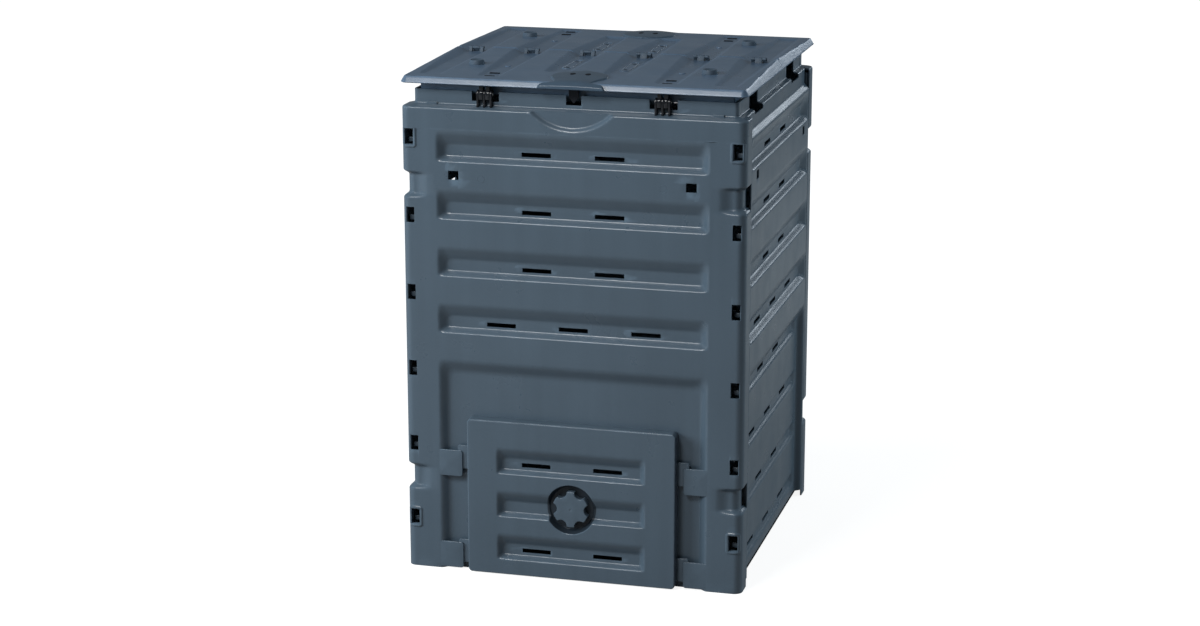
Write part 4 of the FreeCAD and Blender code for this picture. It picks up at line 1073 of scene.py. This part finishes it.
rimLook = {"reach": 317.0, "thick": 2.0, "bottom": 984.0, "top": 1.5, "sideEnd": 308.0, "seamEnd": 9.0,
           "edge": 0.6}


def lidRims():
    # Low walls under the lid, inside the collar, that keep each half in its place
    look = rimLook
    reach, inner, top = look["reach"], look["reach"] - look["thick"], grooveFloor - look["top"]
    made = roundedBlock(-reach, reach, -reach, -inner, look["bottom"], top, look["edge"])
    for side in (-1, 1):
        x0, x1 = sorted((side * reach, side * inner))
        made += roundedBlock(x0, x1, -look["sideEnd"], -look["seamEnd"], look["bottom"], top, look["edge"])
    return made


hingeLook = {
    "ribWidth": 4.0, "ribStep": 13.5, "ribRadius": 8.6, "ribBack": 971.0, "ribFoot": 960.0, "ribTuck": 0.5,
    "footRise": 2.0, "backRise": 4.0, "ribSteps": 20, "ringTurn": (-10, 190, 26), "sink": 1.0,
    "finger": 8.0, "fingerX": 6.75, "ring": 9.2, "bore": 4.6, "reach": 11.5, "flare": 1.2, "mouthLift": 1.5,
    "ringTuck": 0.6, "neckFront": 5.0, "neckRear": 7.0, "neckRise": 1.5, "edge": 0.8,
    "plateHalf": 17.5, "plateFront": -338.0, "plateRear": -258.5, "plateLow": 1009.1, "plateHigh": 1013.1,
    "studLength": 20.0, "studWidth": 6.5, "studRise": 1.6, "holeX": 4.9, "holeRise": 1.5, "hole": 2.7,
    "holeProud": 0.12, "holeDepth": 0.9, "bevel": 0.4,
}
rodPlace = jointPlace("lid_swing") * np.array([1, -1, 1])  # the rear rods' place, taken to the front


def arcPoints(radius, start, stop, steps):
    # Circle round the rod, as (y, z); angles count from the bin's middle over the top to the outside
    turn = np.radians(np.linspace(start, stop, steps))
    return np.column_stack([rodPlace[1] + radius * np.cos(turn), rodPlace[2] + radius * np.sin(turn)])


def hingeRibs():
    # Three upright ribs that hold each rod: a round head on a leg down to the shoulder
    look = hingeLook
    y, r = rodPlace[1], look["ribRadius"]
    collar = -half + wallLook["setback"] + look["ribTuck"]
    leg = [(y - r, look["ribFoot"]), (collar, look["ribFoot"] + look["footRise"]), (collar, look["ribBack"]),
           (y + r, look["ribBack"] + look["backRise"])]
    outline = np.concatenate([arcPoints(r, 0, 180, look["ribSteps"]), leg])
    made = []
    for side in (-1, 1):
        for step in (-1, 0, 1):
            x = side * wallLook["hingeX"] + step * look["ribStep"]
            made.append(faceOut(prismX(outline, x - look["ribWidth"] / 2, x + look["ribWidth"] / 2)))
    return made


def lidClaws():
    # Two hooked fingers: each is a ring open at the foot, with a neck above that meets the plate
    look = hingeLook
    y, z = rodPlace[1], rodPlace[2]
    foot = z - look["reach"]

    def openRing(radius, low, reach):
        ring = arcPoints(radius, *look["ringTurn"])
        return np.concatenate([[(y + reach, low)], ring, [(y - reach, low)]])

    outer = openRing(look["ring"], foot + look["mouthLift"], look["ring"] - look["ringTuck"])
    inner = openRing(look["bore"], foot, look["bore"] + look["flare"])
    made = []
    for side in (-1, 1):
        for step in (-1, 1):
            middle = side * wallLook["hingeX"] + step * look["fingerX"]
            x0, x1 = middle - look["finger"] / 2, middle + look["finger"] / 2
            made.append(bandX(outer, inner, x0, x1))
            made += roundedBlock(x0, x1, y - look["neckFront"], y + look["neckRear"],
                                 z + look["bore"] + look["neckRise"], look["plateLow"] + look["sink"],
                                 look["edge"])
    return made


def clawPlatesAndHoleShade():
    # Matt black parts of the claws: plate and studs in the lid's slots; and round holes in the fingers'
    # fronts, as dark discs of painted shade
    look = hingeLook
    hole, proud = look["hole"], look["holeProud"]
    disc = [(0.0, -proud), (hole, -proud), (hole, look["holeDepth"])]
    made = []
    for side in (-1, 1):
        centre = side * wallLook["hingeX"]
        made += roundedBlock(centre - look["plateHalf"], centre + look["plateHalf"], look["plateFront"],
                             look["plateRear"], look["plateLow"], look["plateHigh"], look["edge"])
        for place in lidLook["slotPlaces"]:
            x0, x1, y0, y1 = holeAt(centre, -place, look["studLength"], look["studWidth"])
            made += roundedBlock(x0, x1, y0, y1, look["plateHigh"] - look["sink"],
                                 grooveFloor + look["studRise"], look["edge"])
        for step in (-1, 1):
            place = (centre + step * look["holeX"], rodPlace[1] - look["ring"],
                     rodPlace[2] + look["holeRise"])
            made.append(revolved(disc, place, "y", turnSides["clawHole"]))
    return made


def dressLid(prefix, degrees, body, node):
    # All pieces of one lid half and its hinges, drawn at the front and turned to their side
    def part(title, patches, material, slot, rides=body, **finish):
        return makePiece(prefix + title, turnedAll(patches, degrees), material, rides, slot, **finish)

    skin = part("_lid_skin", [lidSkin()], lidPlastic, "lid_plastic", thickness=lidLook["wall"],
                bevel=lidLook["bevel"])
    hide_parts(node)
    part("_lid_grip", [lobeSkin()], gripPlastic, "lid_plastic", thickness=lobeLook["wall"])
    part("_lid_grip_hole_shade", lobeHoleShade(), blackPlasticAndHoleShade, "dark_plastic")
    part("_lid_eyes", foldEyes(), pinPlastic, "lid_plastic", bevel=eyeLook["bevel"])
    ribs = part("_hinge_ribs", hingeRibs(), hingePlastic, "dark_plastic", "bin", bevel=hingeLook["bevel"])
    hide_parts(prefix + "_hinge_brackets")
    claws = part("_claw_hooks", lidClaws(), hingePlastic, "dark_plastic", bevel=hingeLook["bevel"])
    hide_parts(prefix + "_lid_claws")
    part("_claw_plates_and_hole_shade", clawPlatesAndHoleShade(), blackPlasticAndHoleShade, "dark_plastic")
    part("_lid_rims", lidRims(), lidPlastic, "lid_plastic")
    part("_lid_ribs", grooveRibs(), lidPlastic, "lid_plastic")
    part("_lid_rib_hole_shade", ribHoleShade(), blackPlasticAndHoleShade, "dark_plastic")
    buttons = part("_lid_button_caps", lidButtons(), pinPlastic, "lid_plastic")
    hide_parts(prefix + "_lid_buttons")


dressLid("front", 0, "lid_front", "lid_front_half")
dressLid("rear", 180, "lid_rear", "lid_rear_half")


# Door and knob

doorLook = {
    "halfWidth": 216.5, "corner": 9.0, "edge": 3.0, "wall": 2.5, "bevel": 0.5, "back": -336.6,
    "past": [2.0, 9.0, 17.0], "grid": 14.0, "patch": 62.0, "closeGrid": 2.4,
    "wellRadius": 51.5, "wellSlope": 6.0, "wellDepth": 16.0, "wellBend": 3.0, "pocketBend": 2.0,
    "wellRings": [8.1, 25.0, 38.0], "wellStart": 42.0, "wellPast": 2.5, "wellSteps": 18, "wellSplit": 1.0,
    "spreadSteps": 12, "flatDepth": 0.5, "earBack": -343.4, "earThick": 3.0, "earReach": 241.0, "earSink": 2.0,
    "earStarts": (15.0, 216.0), "earHeight": 49.0, "earCorner": 4.0, "earEdge": 1.0,
}
doorRowLook = {
    "depth": 13.0, "halfWidth": 153.5, "endSlope": 10.0, "height": 52.0, "ledge": 7.0, "floor": 23.0,
    "highest": 217.0, "lowest": 35.0, "slots": (2, 0, 2), "slotRise": 17.5, "slotLength": 60.0,
    "slotHeight": 9.0, "spacing": 149.0, "bend": 3.2, "floorBend": 1.3, "cornerBend": 9.0,
}
doorFront = doorLow[1]


def wellDepth(x, z):
    # Round well, by the distance from the knob's axis
    look = doorLook
    away = look["wellRadius"] - np.hypot(x - knobPlace[0], z - knobPlace[2])
    return softStep(away * look["wellDepth"] / look["wellSlope"], look["wellDepth"], look["wellBend"])


def doorSkin():
    # Face with louvres; lines past the outline turn the edge and run back as the tray's sides
    look = doorLook
    halfWidth, rounding, near = look["halfWidth"], look["edge"], look["patch"]
    low, high = doorLow[2], doorHigh[2]
    middle, halfHeight = (low + high) / 2, (high - low) / 2
    centreZ = knobPlace[2]
    soft, holes = louvreLines([doorRowLook])
    soft += [(low + rounding, *closeLook["doorEdge"]), (high - rounding, *closeLook["doorEdge"]),
             (centreZ, near, look["closeGrid"])]
    softX = mirrored([(doorRowLook["halfWidth"] - doorRowLook["endSlope"] / 2, *closeLook["pocketEnd"]),
                      (halfWidth - rounding, *closeLook["doorEdge"])])
    softX.append((0.0, near, look["closeGrid"]))
    holes.append(holeAt(0.0, centreZ, 2 * near, 2 * near))
    edges, levels = holeEdges(holes)
    columns = makeLines(-halfWidth, halfWidth, look["grid"], edges, softX)
    rows = makeLines(low, high, look["grid"], levels, soft)
    past = np.array(look["past"] + [look["back"] - doorFront - rounding])
    columns = np.concatenate([-halfWidth - past[::-1], columns, halfWidth + past])
    rows = np.concatenate([low - past[::-1], rows, high + past])
    x, z = np.meshgrid(columns, rows)
    beyond = np.maximum(np.maximum(np.abs(x) - halfWidth, np.abs(z - middle) - halfHeight), 0.0)
    inside = np.minimum(halfWidth - np.abs(x), halfHeight - np.abs(z - middle))
    short = np.clip(rounding - inside, 0, rounding)
    turn = rounding - np.sqrt(np.clip(rounding ** 2 - short ** 2, 0, None))
    px, pz = roundedOutline(x, z - middle, halfWidth, halfHeight, look["corner"])
    y = doorFront + np.where(beyond > 0, rounding + beyond, turn)
    y = y + withPockets(0.0, px, pz + middle, [doorRowLook])
    face = np.stack([px, y, pz + middle], axis=-1)
    skin, well = wellPatches(columns, rows, face)
    return [patch(face, keepMask(columns, rows, holes)), skin], [well]


def wellPatches(columns, rows, face):
    # Rings round the knob: circles across the well that spread to the edge points of the square left in the
    # face. They part at the well's upper bend, so that the well, painted dark as shade, is a piece of its own
    look = doorLook
    centreZ = knobPlace[2]
    inX = np.flatnonzero(np.abs(columns) <= look["patch"] + 0.01)
    inZ = np.flatnonzero(np.abs(rows - centreZ) <= look["patch"] + 0.01)
    west, east, low, high = inX[0], inX[-1], inZ[0], inZ[-1]
    edge = np.concatenate([face[low:high, east], face[high, inX[:0:-1]], face[high:low:-1, west],
                           face[low, inX[:-1]]])
    angle = np.arctan2(edge[:, 2] - centreZ, edge[:, 0])
    reach = np.hypot(edge[:, 0], edge[:, 2] - centreZ)
    slope = np.linspace(look["wellStart"], look["wellRadius"] + look["wellPast"], look["wellSteps"])
    circles = np.concatenate([look["wellRings"], slope])
    radius = [np.full_like(angle, r) for r in circles]
    spread = np.linspace(0, 1, look["spreadSteps"])[1:]
    radius += [circles[-1] + (reach - circles[-1]) * share for share in spread]
    x = np.array(radius) * np.cos(angle)
    z = centreZ + np.array(radius) * np.sin(angle)
    pocket, well = withPockets(0.0, x, z, [doorRowLook]), wellDepth(x, z)
    deeper = np.maximum(pocket, well)
    depth = np.where(deeper < look["flatDepth"], deeper, softMax(pocket, well, look["pocketBend"]))
    points = np.stack([x, doorFront + depth, z], axis=-1)
    points[-1] = edge
    split = np.searchsorted(circles, look["wellRadius"] - look["wellSplit"])
    return patch(points[split:], closed=True, flip=True), patch(points[:split + 1], closed=True, flip=True)


def doorEars():
    # Flat ears at the door's sides that slide behind the tabs
    look = doorLook
    made = []
    for start in look["earStarts"]:
        for side in (-1, 1):
            x0, x1 = sorted((side * (look["halfWidth"] - look["earSink"]), side * look["earReach"]))
            made.append(plateY(x0, x1, start, start + look["earHeight"], look["earBack"] - look["earThick"],
                               look["earBack"], look["earCorner"], look["earEdge"]))
    return made


knobLook = {
    "radius": 37.5, "height": 14.0, "seat": 0.5, "scallops": 6, "biteRadius": 12.5, "biteCentre": 41.0,
    "blend": 4.0, "edge": 2.0, "edgeSteps": 6, "waist": 8.0, "backEdge": 0.5, "shaft": 8.0, "shaftFoot": 1.5,
    "shaftEnd": -323.0, "noBite": 99.0,
    # Small dimple in the face's middle, then the plain face, as (radius, depth)
    "face": [(0.0, 0.5), (2.4, 0.5), (3.0, 0.0), (12.0, 0.0), (24.0, 0.0)],
}


def knobRadiusAt(radius, angle):
    # Each bite is a circle: its near side at this angle, or far out where there is none, blended into the
    # round rim. The shaft stays round
    look = knobLook
    step = 2 * math.pi / look["scallops"]
    away = angle % step - step / 2
    inside = look["biteRadius"] ** 2 - (look["biteCentre"] * np.sin(away)) ** 2
    side = look["biteCentre"] * np.cos(away) - np.sqrt(np.clip(inside, 0, None))
    bite = np.where(inside > 0, side, look["noBite"])
    rim = softMin(np.full_like(bite, look["radius"]), bite, look["blend"])
    return np.where(radius > look["shaft"] + 1, radius * rim / look["radius"], radius)


def knobSkin():
    # Turned profile from the face round the rim to the shaft's end, with bites taken from its rim
    look = knobLook
    face = doorFront + doorLook["wellDepth"] - look["seat"] - look["height"]
    back = face + look["height"]
    r, e, shaft, b = look["radius"], look["edge"], look["shaft"], look["backEdge"]
    profile = [(radius, face + depth) for radius, depth in look["face"]]
    profile += [(r - e + e * math.sin(t), face + e - e * math.cos(t))
                for t in np.linspace(0, math.pi / 2, look["edgeSteps"])]
    profile += [(r, face + look["waist"]), (r, back - b), (r - b, back), (shaft + look["shaftFoot"], back),
                (shaft, back + b), (shaft, look["shaftEnd"]), (0.0, look["shaftEnd"])]
    return [revolved(profile, (0, 0, knobPlace[2]), "y", turnSides["knob"], knobRadiusAt)]


doorPatches, wellPatch = doorSkin()
doorPiece = makePiece("door_skin", doorPatches, doorPlastic, "door", "door_plastic", doorLook["wall"],
                      doorLook["bevel"])
# The well's near-black finish is painted shade
makePiece("door_well", wellPatch, wellPaintedShade, "door", "door_plastic", doorLook["wall"])
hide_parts("door")
makePiece("door_ears", doorEars(), doorPlastic, "door", "door_plastic")
knobPiece = makePiece("knob_cap", knobSkin(), knobPlastic, "knob", "knob_plastic")
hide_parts("door_knob")

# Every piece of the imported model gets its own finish, whether it is carried over or replaced
finishes = (
    (wallPlastic, "front_panel", "rear_panel", "right_side_panel", "left_side_panel"),
    (lidPlastic, "lid_front_half", "lid_rear_half", "front_lid_buttons", "rear_lid_buttons"),
    (blackPlasticAndHoleShade, "front_hinge_brackets", "rear_hinge_brackets", "front_lid_claws", "rear_lid_claws",
     "front_lid_tongue", "rear_lid_tongue", "latch_arm"),
    (rodPlastic, "front_hinge_rods", "rear_hinge_rods"), (pinPlastic, "lid_fold_pins"),
    (screwSteel, "latch_washer", "latch_screw"), (doorPlastic, "door"), (knobPlastic, "door_knob"),
)
for material, *nodes in finishes:
    for node in nodes:
        mesh = frame["nodes"][node].data
        mesh.materials.clear()
        mesh.materials.append(material)


# Stage: floor, lights, camera

stageLook = {"reach": 40.0, "drop": 0.0005, "floorColour": 0.22, "insideShadeColour": 0.02, "nearGlow": 0.88,
             "farGlow": 1.0, "glowRange": (1.2, 4.0), "glossShare": 0.1, "insideX": 0.33, "front": -0.33,
             "rear": 0.349, "world": 0.18, "worldColour": (0.86, 0.94, 1.0, 1)}


def seenShare(tree, glossShare):
    # 1 for camera and see-through rays, and a share for mirrored rays, all of which show the pale backdrop
    rays = addNode(tree, "ShaderNodeLightPath")
    glossy = mathNode(tree, "MULTIPLY", rays.outputs["Is Glossy Ray"], glossShare)
    return mathNode(tree, "MAXIMUM", rays.outputs["Is Camera Ray"],
                    mathNode(tree, "MAXIMUM", glossy, rays.outputs["Is Transmission Ray"]))


def stageFloor():
    # Pale floor that the camera sees as white with the shadow left in; inside the bin's walls it is near
    # black and does not glow, as painted shade
    look = stageLook
    reach = look["reach"]
    mesh = bpy.data.meshes.new("floor")
    mesh.from_pydata([(-reach, -reach, 0), (reach, -reach, 0), (reach, reach, 0), (-reach, reach, 0)], [],
                     [(0, 1, 2, 3)])
    floor = bpy.data.objects.new("floor", mesh)
    floor.location.z = -look["drop"]
    bpy.context.scene.collection.objects.link(floor)
    material = bpy.data.materials.new("floor")
    material.use_nodes = True
    tree = material.node_tree
    tree.nodes.remove(tree.nodes["Principled BSDF"])
    spot = addNode(tree, "ShaderNodeTexCoord").outputs["Object"]
    place = addNode(tree, "ShaderNodeSeparateXYZ", {0: spot})
    beside = mathNode(tree, "GREATER_THAN", mathNode(tree, "ABSOLUTE", place.outputs[0]), look["insideX"])
    middle, reachY = (look["front"] + look["rear"]) / 2, (look["rear"] - look["front"]) / 2
    offset = mathNode(tree, "ABSOLUTE", mathNode(tree, "SUBTRACT", place.outputs[1], middle))
    outside = mathNode(tree, "MAXIMUM", beside, mathNode(tree, "GREATER_THAN", offset, reachY))
    # Painted shade: the floor inside the bin's walls is near black
    insideShade = look["insideShadeColour"]
    shade = mathNode(tree, "MULTIPLY_ADD", outside, look["floorColour"] - insideShade, insideShade)
    colour = addNode(tree, "ShaderNodeCombineColor", {0: shade, 1: shade, 2: shade})
    diffuse = addNode(tree, "ShaderNodeBsdfDiffuse", {"Color": colour.outputs[0]})
    away = addNode(tree, "ShaderNodeVectorMath", {0: spot}, operation="LENGTH").outputs["Value"]
    level = rangeNode(tree, away, look["glowRange"], (look["nearGlow"], look["farGlow"]))
    seen = mathNode(tree, "MULTIPLY", seenShare(tree, look["glossShare"]), level)
    strength = mathNode(tree, "MULTIPLY", seen, outside)
    glow = addNode(tree, "ShaderNodeEmission", {"Color": (1, 1, 1, 1), "Strength": strength})
    both = addNode(tree, "ShaderNodeAddShader", {0: diffuse.outputs[0], 1: glow.outputs[0]})
    tree.links.new(both.outputs[0], tree.nodes["Material Output"].inputs["Surface"])
    floor.data.materials.append(material)


# Azimuth counts from the front towards the right, elevation up from level. The two low fill lights give no
# glints, which would turn the lid white at grazing angles
lightLook = {
    "key": {"azimuth": -17.0, "elevation": 44.0, "distance": 4.6, "target": (0, -0.2, 0.5),
            "size": (1.2, 1.0), "power": 122, "tint": (1, 1, 1), "glints": True},
    "leftSoft": {"azimuth": -60.0, "elevation": 20.0, "distance": 4.6, "target": (0, -0.2, 0.4),
                 "size": (2.6, 2.2), "power": 320, "tint": (0.96, 0.99, 1.0), "glints": False},
    "sideSoft": {"azimuth": 128.0, "elevation": 14.0, "distance": 4.5, "target": (0.3, 0, 0.6),
                 "size": (2.4, 2.2), "power": 190, "tint": (0.78, 0.93, 1.0), "glints": False},
    "rearRim": {"azimuth": 163.0, "elevation": 12.0, "distance": 5.0, "target": (0.35, 0, 0.9),
                "size": (1.0, 0.8), "power": 12, "tint": (0.8, 0.9, 1.0), "glints": True},
}


def stageLight(name, look):
    turn, rise = math.radians(look["azimuth"]), math.radians(look["elevation"])
    target = Vector(look["target"])
    outward = Vector((math.sin(turn) * math.cos(rise), -math.cos(turn) * math.cos(rise), math.sin(rise)))
    place = target + look["distance"] * outward
    data = bpy.data.lights.new(name, "AREA")
    data.shape = "RECTANGLE"
    data.size, data.size_y = look["size"]
    data.energy = look["power"]
    data.color = look["tint"]
    light = bpy.data.objects.new(name, data)
    light.location = place
    light.visible_glossy = look["glints"]
    light.rotation_mode = "QUATERNION"
    light.rotation_quaternion = (target - place).to_track_quat("-Z", "Y")
    bpy.context.scene.collection.objects.link(light)


def stageWorld():
    world = bpy.data.worlds.new("studio")
    bpy.context.scene.world = world
    world.use_nodes = True
    ground = world.node_tree.nodes["Background"]
    ground.inputs["Color"].default_value = stageLook["worldColour"]
    ground.inputs["Strength"].default_value = stageLook["world"]


cameraLook = {"lens": 80.139, "sensor": 36.0, "clip": 200.0, "place": (1.3684, -5.2838, 1.885),
              "turn": 14.865, "tilt": 14.521}


def stageCamera():
    # Turn counts from straight ahead towards the left, tilt down from level
    look = cameraLook
    data = bpy.data.cameras.new("camera")
    data.sensor_width = look["sensor"]
    data.lens = look["lens"]
    data.clip_end = look["clip"]
    cam = bpy.data.objects.new("camera", data)
    cam.location = look["place"]
    turn, tilt = math.radians(look["turn"]), math.radians(look["tilt"])
    ahead = Vector((-math.sin(turn) * math.cos(tilt), math.cos(turn) * math.cos(tilt), -math.sin(tilt)))
    cam.rotation_mode = "QUATERNION"
    cam.rotation_quaternion = ahead.to_track_quat("-Z", "Y")
    bpy.context.scene.collection.objects.link(cam)
    bpy.context.scene.camera = cam


stageFloor()
stageWorld()
for name, look in lightLook.items():
    stageLight(name, look)
stageCamera()
bpy.context.scene.view_settings.view_transform = "Standard"
print("staged")
